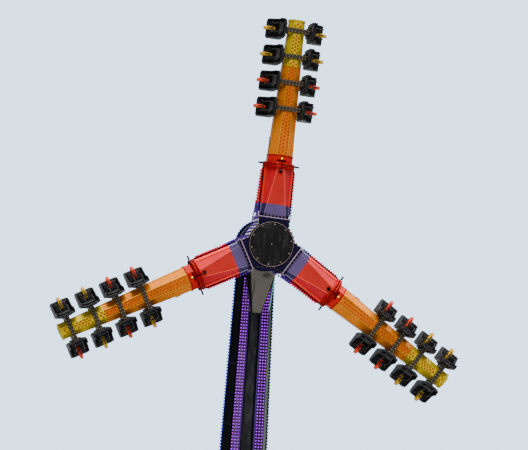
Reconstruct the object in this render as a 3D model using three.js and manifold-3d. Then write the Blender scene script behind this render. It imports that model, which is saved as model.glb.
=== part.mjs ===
// Three-armed spinning tower ride.
//
// Frame: millimetres, +Z up, +X to the viewer's right, +Y away from the viewer.
// The origin lies on the ground under the middle of the tower.
// A tapered tower carries a hub that turns about a level axis along Y.
// Three arms stand out of the hub, a third of a turn apart. Each outer arm spins about
// its own length and carries four rows of two seats that face outwards.

import * as THREE from "three";
import { ConvexGeometry } from "three/addons/geometries/ConvexGeometry.js";
import { mergeVertices } from "three/addons/utils/BufferGeometryUtils.js";
import Module from "manifold-3d";

const wasm = await Module();
wasm.setup();

// Driving dimensions

const GAP = 0.3;
const RUNNING_GAP = 8;

const HUB_HEIGHT = 9600;
const ARM_PLANE_Y = -1950;
const TOP_ARM_ANGLE = 86.5;
const ARM_COUNT = 3;

const PAD_RADIUS = 330;
const PAD_THICKNESS = 60;
const JACK_RADIUS = 110;
const JACK_TOP = 640;
const OUTRIGGER_REACH_X = 3300;
const OUTRIGGER_REACH_FRONT = 3700;
const OUTRIGGER_REACH_REAR = 3000;
const OUTRIGGER_WIDTH = 380;
const OUTRIGGER_BOTTOM = 200;
const OUTRIGGER_TOP = 560;
const FRAME_HALF_X = 1050;
const FRAME_FRONT_Y = -1350;
const FRAME_REAR_Y = 1450;
const FRAME_TOP = 620;

const FOOT_PLATE_HALF_X = 900;
const FOOT_PLATE_MARGIN_Y = 210;
const FOOT_PLATE_THICKNESS = 80;
const GUSSET_HEIGHT = 620;
const GUSSET_THICKNESS = 40;

const TOWER_HALF_X_GROUND = 680;
const TOWER_HALF_X_HUB = 500;
const TOWER_FRONT_GROUND = 620;
const TOWER_FRONT_HUB = 465;
const TOWER_REAR_GROUND = 960;
const TOWER_REAR_HUB = 740;
const TOWER_TOP = HUB_HEIGHT + 340;
const COLUMN_BOTTOM = FRAME_TOP + FOOT_PLATE_THICKNESS + 2 * GAP;

const PANEL_THICKNESS = 55;
const CHANNEL_THICKNESS = 20;
const STRIP_THICKNESS = 75;
const PANEL_BOTTOM = COLUMN_BOTTOM + GUSSET_HEIGHT + 40;
const PANEL_TOP = HUB_HEIGHT - 700;
const CHANNEL_TOP = HUB_HEIGHT - 2320;
const SIDE_RAIL_THICKNESS = 30;
const SIDE_RAIL_WIDTH = 150;
const SIDE_RAIL_INSET = 10;

const DRUM_RADIUS = 860;
const DRUM_CENTRE_Z = HUB_HEIGHT - 30;
const DRUM_FRONT_Y = -1420;
const DRUM_REAR_Y = -180;
const APRON_BOTTOM = HUB_HEIGHT - 2280;
const APRON_BOTTOM_HALF = 180;
const APRON_TOP_HALF = 488;
const APRON_TOP = HUB_HEIGHT - 760;
const APRON_PLATE_THICKNESS = 25;
const APRON_OFFSET_BOTTOM = 90;
const APRON_OFFSET_TOP = 60;
const ROUND_SIDES = 48;
const SMALL_ROUND_SIDES = 24;

const HUB_DISC_RADIUS = 810;
const HUB_FLAT_RADIUS = 895;
const HUB_FLAT_HALF = 535;
const HUB_HALF_DEPTH = 470;
const BEARING_RADIUS = 520;
const COVER_RADIUS = 730;
const COVER_RING_RADIUS = 785;
const COVER_THICKNESS = 60;
const COVER_RING_THICKNESS = 75;

const ROOT_START = HUB_FLAT_RADIUS + GAP;
const ROOT_PLATE_HALF = 545;
const ROOT_PLATE_DEPTH = 480;
const ROOT_PLATE_THICKNESS = 45;
const ROOT_END = 2625;
const ROOT_INNER = { frontHalf: 400, sideHalf: 515, depth: 420, sideDepth: 305 };
const ROOT_OUTER = { frontHalf: 125, sideHalf: 505, depth: 485, sideDepth: 125 };
const FLANGE_RADIUS = 560;
const FLANGE_THICKNESS = 78;
const FLANGE_SPACE = 16;
const FLANGE_END = ROOT_END + 2 * FLANGE_THICKNESS + FLANGE_SPACE;
const FLANGE_NECK_RADIUS = 490;
const LUG_RADIUS = 24;
const LUG_REACH = 665;

const COLLAR_HALF = 430;
const COLLAR_LENGTH = 275;
const BEAM_HALF_START = 415;
const BEAM_HALF_END = 262;
const ARM_END = 7780;
const TIP_PLATE_THICKNESS = 40;
const TIP_PLATE_PROUD = 25;
const TAPER_END = ARM_END - TIP_PLATE_THICKNESS;
const BEARING_BOSS_RADIUS = 330;
const OVERLAP = 20;

const ROW_COUNT = 4;
const FIRST_ROW = 4680;
const ROW_PITCH = 905;
const ROW_BAND_HALF = 85;
const ROW_BAND_PROUD = 55;
const SEAT_BACK_INNER = 440;
const SEAT_BACK_OUTER = 530;
const SEAT_PAN_REACH = 1010;
const SEAT_HALF_WIDTH = 335;
const SEAT_SIDE_THICKNESS = 45;
const SEAT_HEAD_Y = -634;
const SEAT_PAN_Y = 250;
const SEAT_PAN_THICKNESS = 90;
const SADDLE_HALF = 55;
const SADDLE_REACH = 1130;
const SADDLE_TOP_Y = -60;

// Helpers for solids

function weld(geometry) {
  geometry.deleteAttribute("normal");
  geometry.deleteAttribute("uv");
  return mergeVertices(geometry, 0.001);
}

function toSolid(geometry) {
  const welded = weld(geometry.index ? geometry.toNonIndexed() : geometry);
  return new wasm.Manifold(new wasm.Mesh({
    numProp: 3,
    vertProperties: new Float32Array(welded.attributes.position.array),
    triVerts: new Uint32Array(welded.index.array),
  }));
}

function fromSolid(solid) {
  const mesh = solid.getMesh();
  const geometry = new THREE.BufferGeometry();
  geometry.setAttribute("position", new THREE.BufferAttribute(new Float32Array(mesh.vertProperties), 3));
  geometry.setIndex(new THREE.BufferAttribute(new Uint32Array(mesh.triVerts), 1));
  geometry.computeVertexNormals();
  return geometry;
}

function fuse(...geometries) {
  const solids = geometries.map(toSolid);
  return solids.reduce((whole, piece) => whole.add(piece));
}

function block(lowX, highX, lowY, highY, lowZ, highZ) {
  const box = new THREE.BoxGeometry(highX - lowX, highY - lowY, highZ - lowZ);
  return box.translate((lowX + highX) / 2, (lowY + highY) / 2, (lowZ + highZ) / 2);
}

function hull(points) {
  return new ConvexGeometry(points.map(([x, y, z]) => new THREE.Vector3(x, y, z)));
}

function uprightCylinder(radius, lowZ, highZ, sides) {
  const cylinder = new THREE.CylinderGeometry(radius, radius, highZ - lowZ, sides);
  return cylinder.rotateX(Math.PI / 2).translate(0, 0, (lowZ + highZ) / 2);
}

function depthCylinder(radius, frontY, rearY, sides) {
  const cylinder = new THREE.CylinderGeometry(radius, radius, rearY - frontY, sides);
  return cylinder.translate(0, (frontY + rearY) / 2, 0);
}

function octagonPrism(startHalf, endHalf, lowZ, highZ) {
  const toCorner = 1 / Math.cos(Math.PI / 8);
  const prism = new THREE.CylinderGeometry(endHalf * toCorner, startHalf * toCorner, highZ - lowZ, 8);
  return prism.rotateY(Math.PI / 8).rotateX(Math.PI / 2).translate(0, 0, (lowZ + highZ) / 2);
}

function finish(color, roughness, metalness) {
  return new THREE.MeshStandardMaterial({ color, roughness, metalness });
}

const FINISHES = {
  baseSteel: finish(0x3c3f46, 0.6, 0.4),
  jackSteel: finish(0x8a8d90, 0.45, 0.7),
  towerBlack: finish(0x17151c, 0.5, 0.2),
  bulbPurple: finish(0x7a35b8, 0.4, 0.1),
  channelBlack: finish(0x1c1b1f, 0.6, 0.3),
  apronGrey: finish(0x6a6660, 0.6, 0.4),
  railGrey: finish(0x6f7a72, 0.5, 0.5),
  headBlue: finish(0x23204e, 0.45, 0.2),
  hubIndigo: finish(0x241f3d, 0.45, 0.3),
  coverBlack: finish(0x1c1c1e, 0.55, 0.2),
  ringBeige: finish(0xb39a92, 0.45, 0.5),
  rootRed: finish(0xd2352a, 0.4, 0.1),
  flangeRed: finish(0xa81f24, 0.4, 0.2),
  beamOrange: finish(0xd68210, 0.4, 0.1),
  seatBlack: finish(0x1d1d20, 0.6, 0.1),
};

function makeMesh(name, geometry, material) {
  const mesh = new THREE.Mesh(geometry, material);
  mesh.name = name;
  return mesh;
}

const solidMesh = (name, solid, material) => makeMesh(name, fromSolid(solid), material);

// Tower taper

const heightShare = (z) => z / HUB_HEIGHT;
const towerHalfX = (z) => THREE.MathUtils.lerp(TOWER_HALF_X_GROUND, TOWER_HALF_X_HUB, heightShare(z));
const towerFrontY = (z) => -THREE.MathUtils.lerp(TOWER_FRONT_GROUND, TOWER_FRONT_HUB, heightShare(z));
const towerRearY = (z) => THREE.MathUtils.lerp(TOWER_REAR_GROUND, TOWER_REAR_HUB, heightShare(z));

// A plate on the tower's front face, between two shares of its half width.
function frontPlate(leftShare, rightShare, lowZ, highZ, innerOffset, outerOffset) {
  const points = [];
  for (const z of [lowZ, highZ]) {
    for (const share of [leftShare, rightShare]) {
      for (const offset of [innerOffset, outerOffset]) {
        points.push([share * towerHalfX(z), towerFrontY(z) - offset, z]);
      }
    }
  }
  return hull(points);
}

// A strip on the tower's side face along its rear edge.
function sideRail(side, lowZ, highZ) {
  const points = [];
  for (const z of [lowZ, highZ]) {
    for (const x of [towerHalfX(z) + GAP, towerHalfX(z) + GAP + SIDE_RAIL_THICKNESS]) {
      points.push([side * x, towerRearY(z) - SIDE_RAIL_INSET, z]);
      points.push([side * x, towerRearY(z) - SIDE_RAIL_INSET - SIDE_RAIL_WIDTH, z]);
    }
  }
  return hull(points);
}

function column(extra, lowZ, highZ) {
  const points = [];
  for (const z of [lowZ, highZ]) {
    for (const x of [-1, 1]) {
      points.push([x * (towerHalfX(z) + extra), towerFrontY(z) - extra, z]);
      points.push([x * (towerHalfX(z) + extra), towerRearY(z) + extra, z]);
    }
  }
  return hull(points);
}

// Base

function makeCentreFrame() {
  const body = block(-FRAME_HALF_X, FRAME_HALF_X, FRAME_FRONT_Y, FRAME_REAR_Y, 0, FRAME_TOP);
  return makeMesh("centre_frame", body, FINISHES.baseSteel);
}

// One outrigger: a box beam from the frame's side, a jack leg at its end and the foot pad.
function makeOutrigger(name, sideX, endY, rootY) {
  const start = new THREE.Vector2(sideX * (FRAME_HALF_X + GAP), rootY);
  const end = new THREE.Vector2(sideX * OUTRIGGER_REACH_X, endY);
  const half = OUTRIGGER_WIDTH / 2;
  const points = [];
  for (const z of [OUTRIGGER_BOTTOM, OUTRIGGER_TOP]) {
    for (const shift of [-half, half]) {
      points.push([start.x, start.y + shift, z]);
      points.push([end.x, end.y + shift, z]);
    }
  }
  const pad = uprightCylinder(PAD_RADIUS, 0, PAD_THICKNESS, 16).translate(end.x, end.y, 0);
  const jack = uprightCylinder(JACK_RADIUS, PAD_THICKNESS - 20, JACK_TOP, 12).translate(end.x, end.y, 0);
  return solidMesh(name, fuse(hull(points), pad, jack), FINISHES.baseSteel);
}

// A triangular rib that leans on the column. Its outline is given as pairs of reach and height.
function gusset(outline, place, alongX) {
  const points = [];
  for (const shift of [-GUSSET_THICKNESS / 2, GUSSET_THICKNESS / 2]) {
    for (const [reach, z] of outline) {
      points.push(alongX ? [reach, place + shift, z] : [place + shift, reach, z]);
    }
  }
  return hull(points);
}

function gussetOutline(outer, inner, top) {
  return [[outer, top - 10], [inner, top - 10], [outer, top + 60], [inner, top + GUSSET_HEIGHT]];
}

// The foot plate with two gussets on each face of the column.
function makeMastFoot() {
  const low = FRAME_TOP + GAP;
  const top = low + FOOT_PLATE_THICKNESS;
  const frontY = towerFrontY(top) - FOOT_PLATE_MARGIN_Y;
  const rearY = towerRearY(top) + FOOT_PLATE_MARGIN_Y;
  const middleY = (frontY + rearY) / 2;
  const pieces = [block(-FOOT_PLATE_HALF_X, FOOT_PLATE_HALF_X, frontY, rearY, low, top)];
  for (const place of [-1, 1]) {
    const atY = middleY + place * 420;
    const atX = place * 370;
    for (const side of [-1, 1]) {
      const sideOutline = gussetOutline(side * (FOOT_PLATE_HALF_X - 20), side * (towerHalfX(top) - 80), top);
      pieces.push(gusset(sideOutline, atY, true));
    }
    pieces.push(gusset(gussetOutline(frontY + 20, towerFrontY(top) + 80, top), atX, false));
    pieces.push(gusset(gussetOutline(rearY - 20, towerRearY(top) - 80, top), atX, false));
  }
  const clearance = toSolid(column(GAP, COLUMN_BOTTOM - GAP, HUB_HEIGHT));
  return solidMesh("mast_foot", fuse(...pieces).subtract(clearance), FINISHES.baseSteel);
}

// Tower

function headDrum(extra) {
  const drum = depthCylinder(DRUM_RADIUS + extra, DRUM_FRONT_Y - extra, DRUM_REAR_Y + extra, ROUND_SIDES);
  return drum.translate(0, 0, DRUM_CENTRE_Z);
}

function makeTower() {
  const group = new THREE.Group();
  const drumRoom = toSolid(headDrum(GAP));
  const shaft = toSolid(column(0, COLUMN_BOTTOM, TOWER_TOP)).subtract(drumRoom);
  group.add(solidMesh("tower_column", shaft, FINISHES.towerBlack));

  const left = frontPlate(-0.98, -0.37, PANEL_BOTTOM, PANEL_TOP, GAP, PANEL_THICKNESS);
  const right = frontPlate(0.37, 0.82, PANEL_BOTTOM, PANEL_TOP, GAP, PANEL_THICKNESS);
  const strip = frontPlate(0.825, 0.98, PANEL_BOTTOM, PANEL_TOP, GAP, STRIP_THICKNESS);
  const channel = frontPlate(-0.365, 0.365, PANEL_BOTTOM, CHANNEL_TOP, GAP, CHANNEL_THICKNESS);
  const bracket = apronBracket(0);
  const headRoom = drumRoom.add(apronBracket(GAP));
  group.add(solidMesh("left_bulb_panel", toSolid(left).subtract(headRoom), FINISHES.bulbPurple));
  group.add(solidMesh("right_bulb_panel", toSolid(right).subtract(headRoom), FINISHES.bulbPurple));
  group.add(solidMesh("right_edge_strip", toSolid(strip).subtract(headRoom), FINISHES.railGrey));
  group.add(solidMesh("centre_channel", toSolid(channel), FINISHES.channelBlack));
  group.add(solidMesh("apron_bracket", bracket.subtract(drumRoom), FINISHES.headBlue));
  group.add(solidMesh("apron_plate", apronPlate().subtract(drumRoom), FINISHES.apronGrey));

  group.add(makeMesh("tower_head", headDrum(0), FINISHES.headBlue));

  for (const [name, side] of [["left_side_rail", -1], ["right_side_rail", 1]]) {
    const rail = toSolid(sideRail(side, PANEL_BOTTOM, TOWER_TOP - 20)).subtract(drumRoom);
    group.add(solidMesh(name, rail, FINISHES.headBlue));
  }
  return group;
}

// The sloping bracket runs from the tower's front face up to the head.
const apronBottomY = towerFrontY(APRON_BOTTOM) - APRON_OFFSET_BOTTOM;
const apronTopY = DRUM_FRONT_Y + APRON_OFFSET_TOP;
const apronFrontAt = (z) => THREE.MathUtils.mapLinear(z, APRON_BOTTOM, APRON_TOP, apronBottomY, apronTopY);
const apronHalfAt = (z) => (
  THREE.MathUtils.mapLinear(z, APRON_BOTTOM, APRON_TOP, APRON_BOTTOM_HALF, APRON_TOP_HALF));

function apronBracket(extra) {
  const rearAt = (z) => towerFrontY(z) - GAP + extra;
  const points = [];
  for (const z of [APRON_BOTTOM - extra, APRON_TOP]) {
    const half = apronHalfAt(z) + extra;
    for (const side of [-1, 1]) {
      points.push([side * half, apronFrontAt(z) - extra, z]);
      points.push([side * half, rearAt(z), z]);
    }
  }
  return toSolid(hull(points));
}

function apronPlate() {
  const points = [];
  for (const z of [APRON_BOTTOM, APRON_TOP]) {
    for (const side of [-1, 1]) {
      const x = side * apronHalfAt(z);
      const rear = apronFrontAt(z) - GAP;
      points.push([x, rear, z], [x, rear - APRON_PLATE_THICKNESS, z]);
    }
  }
  return toSolid(hull(points));
}

// Hub, in its own frame: axis along Y, arm directions a third of a turn apart from +Z

// A round body with a flat-ended stub for each arm.
function hubBody() {
  const pieces = [depthCylinder(HUB_DISC_RADIUS, -HUB_HALF_DEPTH, HUB_HALF_DEPTH, ROUND_SIDES)];
  for (let arm = 0; arm < ARM_COUNT; arm += 1) {
    const turn = (arm * 2 * Math.PI) / ARM_COUNT;
    const stub = block(-HUB_FLAT_HALF, HUB_FLAT_HALF, -HUB_HALF_DEPTH, HUB_HALF_DEPTH, 0, HUB_FLAT_RADIUS);
    pieces.push(stub.rotateY(turn));
  }
  return fuse(...pieces);
}

function makeHub() {
  const group = new THREE.Group();
  const bearingFront = HUB_HALF_DEPTH + GAP;
  const bearingRear = DRUM_FRONT_Y - ARM_PLANE_Y - GAP;
  const coverRear = -HUB_HALF_DEPTH - GAP;
  const coverFront = coverRear - COVER_THICKNESS;
  const ringFront = coverRear - COVER_RING_THICKNESS;
  const bearing = depthCylinder(BEARING_RADIUS, bearingFront, bearingRear, SMALL_ROUND_SIDES);
  const cover = depthCylinder(COVER_RADIUS, coverFront, coverRear, ROUND_SIDES);
  const ring = depthCylinder(COVER_RING_RADIUS, ringFront, coverRear, ROUND_SIDES);
  const roomFront = ringFront - OVERLAP;
  const coverRoom = depthCylinder(COVER_RADIUS + GAP, roomFront, coverRear + OVERLAP, ROUND_SIDES);
  group.add(solidMesh("hub_body", hubBody(), FINISHES.hubIndigo));
  group.add(makeMesh("main_bearing", bearing, FINISHES.jackSteel));
  group.add(makeMesh("hub_cover", cover, FINISHES.coverBlack));
  group.add(solidMesh("cover_ring", toSolid(ring).subtract(toSolid(coverRoom)), FINISHES.ringBeige));
  return group;
}

// Arm root, in the arm's frame: +Z along the arm, -Y towards the viewer

// Eight corners of a box with its corners cut off.
function rootSection({ frontHalf, sideHalf, depth, sideDepth }, z) {
  const points = [];
  for (const sideX of [-1, 1]) {
    for (const sideY of [-1, 1]) {
      points.push([sideX * frontHalf, sideY * depth, z], [sideX * sideHalf, sideY * sideDepth, z]);
    }
  }
  return points;
}

// A square plate at the hub, then a box whose corners are cut away more and more towards the flange.
function makeArmRoot(place) {
  const plateEnd = ROOT_START + ROOT_PLATE_THICKNESS;
  const plate = block(-ROOT_PLATE_HALF, ROOT_PLATE_HALF, -ROOT_PLATE_DEPTH, ROOT_PLATE_DEPTH - 40,
    ROOT_START, plateEnd);
  const inner = rootSection(ROOT_INNER, plateEnd - OVERLAP);
  const outer = rootSection(ROOT_OUTER, ROOT_END - GAP);
  const taper = hull([...inner, ...outer]);
  return solidMesh(`arm_root_${place}`, fuse(plate, taper), FINISHES.rootRed);
}

// Two ring plates. The outer one has a lug on each side.
function makeRingFlange(place) {
  const discs = [];
  const lugRoot = FLANGE_RADIUS - 2 * OVERLAP;
  for (const low of [ROOT_END, FLANGE_END - FLANGE_THICKNESS]) {
    discs.push(uprightCylinder(FLANGE_RADIUS, low, low + FLANGE_THICKNESS, SMALL_ROUND_SIDES));
  }
  for (const side of [-1, 1]) {
    const lug = new THREE.CylinderGeometry(LUG_RADIUS, LUG_RADIUS, LUG_REACH - lugRoot, 8);
    lug.rotateZ(Math.PI / 2);
    discs.push(lug.translate((side * (LUG_REACH + lugRoot)) / 2, 0, FLANGE_END - FLANGE_THICKNESS / 2));
  }
  const neckLow = ROOT_END + FLANGE_THICKNESS / 2;
  const neckHigh = neckLow + FLANGE_THICKNESS + FLANGE_SPACE;
  discs.push(uprightCylinder(FLANGE_NECK_RADIUS, neckLow, neckHigh, SMALL_ROUND_SIDES));
  return solidMesh(`ring_flange_${place}`, fuse(...discs), FINISHES.flangeRed);
}

const COLLAR_START = FLANGE_END + RUNNING_GAP;
const BEAM_START = COLLAR_START + COLLAR_LENGTH + GAP;
const beamHalfAt = (z) => (
  THREE.MathUtils.mapLinear(z, BEAM_START, TAPER_END, BEAM_HALF_START, BEAM_HALF_END));

function makeCollar(place) {
  const collar = octagonPrism(COLLAR_HALF, COLLAR_HALF, COLLAR_START, COLLAR_START + COLLAR_LENGTH);
  const boss = uprightCylinder(
    BEARING_BOSS_RADIUS, FLANGE_END + GAP, COLLAR_START + OVERLAP, SMALL_ROUND_SIDES);
  return solidMesh(`arm_collar_${place}`, fuse(collar, boss), FINISHES.flangeRed);
}

function makeBeam(place) {
  const beam = octagonPrism(BEAM_HALF_START, BEAM_HALF_END, BEAM_START, TAPER_END);
  const tipHalf = BEAM_HALF_END + TIP_PLATE_PROUD;
  const tip = octagonPrism(tipHalf, tipHalf, TAPER_END - OVERLAP, ARM_END);
  return solidMesh(`arm_beam_${place}`, fuse(beam, tip), FINISHES.beamOrange);
}

// One side of a seat shell: the outline lies in the plane of X and Y and has a thickness along Z.
function seatCheek(side, lowZ, highZ) {
  const outline = [
    [SEAT_BACK_INNER + 20, SEAT_HEAD_Y + 40],
    [SEAT_BACK_OUTER + 130, SEAT_HEAD_Y + 40],
    [SEAT_BACK_OUTER + 190, SEAT_HEAD_Y + 330],
    [SEAT_PAN_REACH - 20, SADDLE_TOP_Y + 60],
    [SEAT_PAN_REACH - 20, SEAT_PAN_Y + SEAT_PAN_THICKNESS],
    [SEAT_BACK_INNER + 20, SEAT_PAN_Y + SEAT_PAN_THICKNESS],
  ];
  const shape = new THREE.Shape(outline.map(([x, y]) => new THREE.Vector2(side * x, y)));
  const cheek = new THREE.ExtrudeGeometry(shape, { depth: highZ - lowZ, bevelEnabled: false });
  return cheek.translate(0, 0, lowZ);
}

function seatPieces(side, middle) {
  const mirrored = (lowX, highX, ...rest) => (
    side > 0 ? block(lowX, highX, ...rest) : block(-highX, -lowX, ...rest));
  const low = middle - SEAT_HALF_WIDTH;
  const high = middle + SEAT_HALF_WIDTH;
  const panTop = SEAT_PAN_Y;
  const panBottom = SEAT_PAN_Y + SEAT_PAN_THICKNESS;
  return [
    mirrored(SEAT_BACK_INNER, SEAT_BACK_OUTER, SEAT_HEAD_Y, panBottom, low, high),
    mirrored(SEAT_BACK_INNER, SEAT_PAN_REACH, panTop, panBottom, low, high),
    mirrored(620, SADDLE_REACH, SADDLE_TOP_Y, panTop + 30, middle - SADDLE_HALF, middle + SADDLE_HALF),
    seatCheek(side, low, low + SEAT_SIDE_THICKNESS),
    seatCheek(side, high - SEAT_SIDE_THICKNESS, high),
  ];
}

// A seat row: a band that clamps round the beam, with one seat on each side.
function makeSeatRow(place, index) {
  const middle = FIRST_ROW + index * ROW_PITCH;
  const proud = beamHalfAt(middle - ROW_BAND_HALF) + ROW_BAND_PROUD;
  const band = block(-SEAT_BACK_INNER - 20, SEAT_BACK_INNER + 20, -proud, proud,
    middle - ROW_BAND_HALF, middle + ROW_BAND_HALF);
  const seats = [...seatPieces(-1, middle), ...seatPieces(1, middle)];
  const room = toSolid(octagonPrism(BEAM_HALF_START + GAP, BEAM_HALF_END + GAP, BEAM_START, TAPER_END));
  const row = fuse(band, ...seats).subtract(room);
  return solidMesh(`seat_row_${place}_${index + 1}`, row, FINISHES.seatBlack);
}

function makeArm(place) {
  const arm = new THREE.Group();
  arm.add(makeArmRoot(place));
  arm.add(makeRingFlange(place));
  arm.add(makeCollar(place));
  arm.add(makeBeam(place));
  for (let index = 0; index < ROW_COUNT; index += 1) {
    arm.add(makeSeatRow(place, index));
  }
  return arm;
}

// Assembly

function makeRotor() {
  const rotor = new THREE.Group();
  rotor.position.set(0, ARM_PLANE_Y, HUB_HEIGHT);
  const topTurn = THREE.MathUtils.degToRad(90 - TOP_ARM_ANGLE);
  const hub = makeHub();
  hub.rotation.y = topTurn;
  rotor.add(hub);
  ["top", "right", "left"].forEach((place, index) => {
    const arm = makeArm(place);
    arm.rotation.y = topTurn + (index * 2 * Math.PI) / ARM_COUNT;
    rotor.add(arm);
  });
  return rotor;
}

const ride = new THREE.Group();
ride.add(makeCentreFrame());
ride.add(makeOutrigger("outrigger_front_left", -1, -OUTRIGGER_REACH_FRONT, FRAME_FRONT_Y + 350));
ride.add(makeOutrigger("outrigger_front_right", 1, -OUTRIGGER_REACH_FRONT, FRAME_FRONT_Y + 350));
ride.add(makeOutrigger("outrigger_rear_left", -1, OUTRIGGER_REACH_REAR, FRAME_REAR_Y - 350));
ride.add(makeOutrigger("outrigger_rear_right", 1, OUTRIGGER_REACH_REAR, FRAME_REAR_Y - 350));
ride.add(makeMastFoot());
ride.add(makeTower());
ride.add(makeRotor());

export default ride;
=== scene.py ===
# %% [markdown]
# A spinning tower ride, dressed for its portrait. Three long arms stand out of a turning hub on
# a tapered tower, and each outer arm carries four rows of two seats that face outwards.
# The solids of the ride are already in place when this lesson begins. They hold the sizes, the
# joints and the weight. The cells below give every surface its finish and add what is too small
# for the solids: bulbs, bolts, seams, pads and lamps.

# %% Open the ride
import math

import bmesh
import bpy
from mathutils import Matrix, Vector


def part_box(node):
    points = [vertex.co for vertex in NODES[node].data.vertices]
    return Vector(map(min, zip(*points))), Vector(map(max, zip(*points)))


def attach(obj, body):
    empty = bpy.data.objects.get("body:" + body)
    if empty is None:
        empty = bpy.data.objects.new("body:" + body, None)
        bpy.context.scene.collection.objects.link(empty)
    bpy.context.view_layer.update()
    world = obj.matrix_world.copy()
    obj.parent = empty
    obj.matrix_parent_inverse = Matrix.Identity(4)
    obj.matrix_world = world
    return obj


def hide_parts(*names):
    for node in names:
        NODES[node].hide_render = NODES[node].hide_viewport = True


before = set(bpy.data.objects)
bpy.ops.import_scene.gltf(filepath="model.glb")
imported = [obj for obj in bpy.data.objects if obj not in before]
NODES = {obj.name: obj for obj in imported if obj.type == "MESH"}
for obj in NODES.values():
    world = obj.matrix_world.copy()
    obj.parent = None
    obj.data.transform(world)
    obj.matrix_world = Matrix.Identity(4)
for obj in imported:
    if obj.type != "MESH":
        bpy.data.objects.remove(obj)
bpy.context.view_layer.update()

# %% [markdown]
# The ride is described by a handful of sizes in metres. The hub's middle comes from the cover's
# box, which is round and so has the hub axis at its middle. The arms stand a third of a turn
# apart. Each arm gets a matrix of its own: inside it, Z runs out along the arm, X runs across it
# and -Y points at the viewer, so every arm is built by the same lines.

# %% Sizes and the arms' own directions
HUB_MIDDLE_Y = -1.95
cover_low, cover_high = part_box("hub_cover")
HUB = Vector(((cover_low[0] + cover_high[0]) / 2, HUB_MIDDLE_Y, (cover_low[2] + cover_high[2]) / 2))
TOP_TURN = math.radians(3.5)
ARM_FRAMES = {
    place: Matrix.Translation(HUB) @ Matrix.Rotation(TOP_TURN + index * math.tau / 3, 4, "Y")
    for index, place in enumerate(("top", "right", "left"))}
HUB_FRAME = ARM_FRAMES["top"]
ROWS = [4.68 + index * 0.905 for index in range(4)]
SIDES = (-1, 1)
X, Y, Z = Vector((1, 0, 0)), Vector((0, 1, 0)), Vector((0, 0, 1))
print("hub axis at", tuple(round(value, 3) for value in HUB))

# %% [markdown]
# The camera stands low on the left and far away with a long lens, as the photographer did, so
# the arms hardly converge. Its aim is given as an offset from the hub in pixels, and the small
# roll leans the tower to the right. A long lens is made from the wanted scale: pixels for
# each metre, times the distance, is the focal length in pixels.

# %% Camera at the viewing angle
PHOTO_WIDTH = 528
PIXELS_PER_METRE = 29.35
SENSOR_WIDTH = 36.0
CAMERA_DISTANCE = 90.0
CAMERA_AZIMUTH = math.radians(-11.0)
CAMERA_ELEVATION = math.radians(-2.5)
CAMERA_ROLL = math.radians(3.8)
HUB_PIXEL_OFFSET = (7.6, 19.2)     # the hub cover lies this far right of and below the picture's middle


def place_camera():
    data = bpy.data.cameras.new("portrait_camera")
    data.sensor_width = SENSOR_WIDTH
    data.lens = SENSOR_WIDTH * PIXELS_PER_METRE * CAMERA_DISTANCE / PHOTO_WIDTH
    data.clip_end = 500.0
    camera = bpy.data.objects.new("portrait_camera", data)
    bpy.context.collection.objects.link(camera)
    away = Vector((
        math.sin(CAMERA_AZIMUTH) * math.cos(CAMERA_ELEVATION),
        -math.cos(CAMERA_AZIMUTH) * math.cos(CAMERA_ELEVATION),
        math.sin(CAMERA_ELEVATION)))
    turn = away.to_track_quat("Z", "Y").to_matrix().to_4x4() @ Matrix.Rotation(CAMERA_ROLL, 4, "Z")
    right, up, _ = turn.to_3x3().col
    hub_front = Vector((HUB.x, cover_low[1], HUB.z))
    shift_right, shift_down = (value / PIXELS_PER_METRE for value in HUB_PIXEL_OFFSET)
    aim = hub_front - right * shift_right + up * shift_down
    camera.matrix_world = Matrix.Translation(aim + away * CAMERA_DISTANCE) @ turn
    bpy.context.scene.camera = camera
    return camera


print("lens", round(place_camera().data.lens, 1), "mm from", CAMERA_DISTANCE, "m away")

# %% [markdown]
# Studio light for a thing as tall as a house: a soft sky all round, a wide soft key from high in
# front and a little to the left, and a second wide lamp overhead that brightens the upper sides
# of the arms. As in a studio, the backdrop is lit apart from the subject: the Light Path node
# shows the camera a brighter sky than the one that lights the ride, so the paints stay deep.

# %% Sky, backdrop and lamps
SKY = {"Color": (0.90, 0.95, 1.0, 1.0), "Strength": 0.62}
BACKDROP = {"Color": (0.58, 0.77, 1.0, 1.0), "Strength": 3.1}
LAMPS = {
    "soft_key": (3.1, (1.0, 0.96, 0.90), (-0.15, -0.60, 0.78), 24),
    "overhead": (6.5, (1.0, 0.98, 0.95), (0.21, -0.02, 0.97), 75),
}


def add_sky():
    world = bpy.data.worlds.new("pale_sky")
    world.use_nodes = True
    tree = world.node_tree
    chooser = tree.nodes.new("ShaderNodeMixShader")
    tree.links.new(tree.nodes.new("ShaderNodeLightPath").outputs["Is Camera Ray"], chooser.inputs[0])
    backgrounds = (tree.nodes["Background"], tree.nodes.new("ShaderNodeBackground"))
    for background, values, socket in zip(backgrounds, (SKY, BACKDROP), chooser.inputs[1:]):
        for key, value in values.items():
            background.inputs[key].default_value = value
        tree.links.new(background.outputs[0], socket)
    tree.links.new(chooser.outputs[0], tree.nodes["World Output"].inputs["Surface"])
    bpy.context.scene.world = world


def add_lamp(name, strength, colour, direction, degrees):
    data = bpy.data.lights.new(name, "SUN")
    data.energy = strength
    data.color = colour
    data.angle = math.radians(degrees)
    lamp = bpy.data.objects.new(name, data)
    lamp.rotation_euler = (-Vector(direction)).to_track_quat("-Z", "Y").to_euler()
    bpy.context.collection.objects.link(lamp)


add_sky()
for name, settings in LAMPS.items():
    add_lamp(name, *settings)
print("one sky, one backdrop,", len(LAMPS), "lamps")

# %% [markdown]
# The floor is a large disc at ground level. It rides on no body, so it isn't part of the ride.

# %% Floor
FLOOR_RADIUS = 26.0
FLOOR_DROP = 0.004


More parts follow.
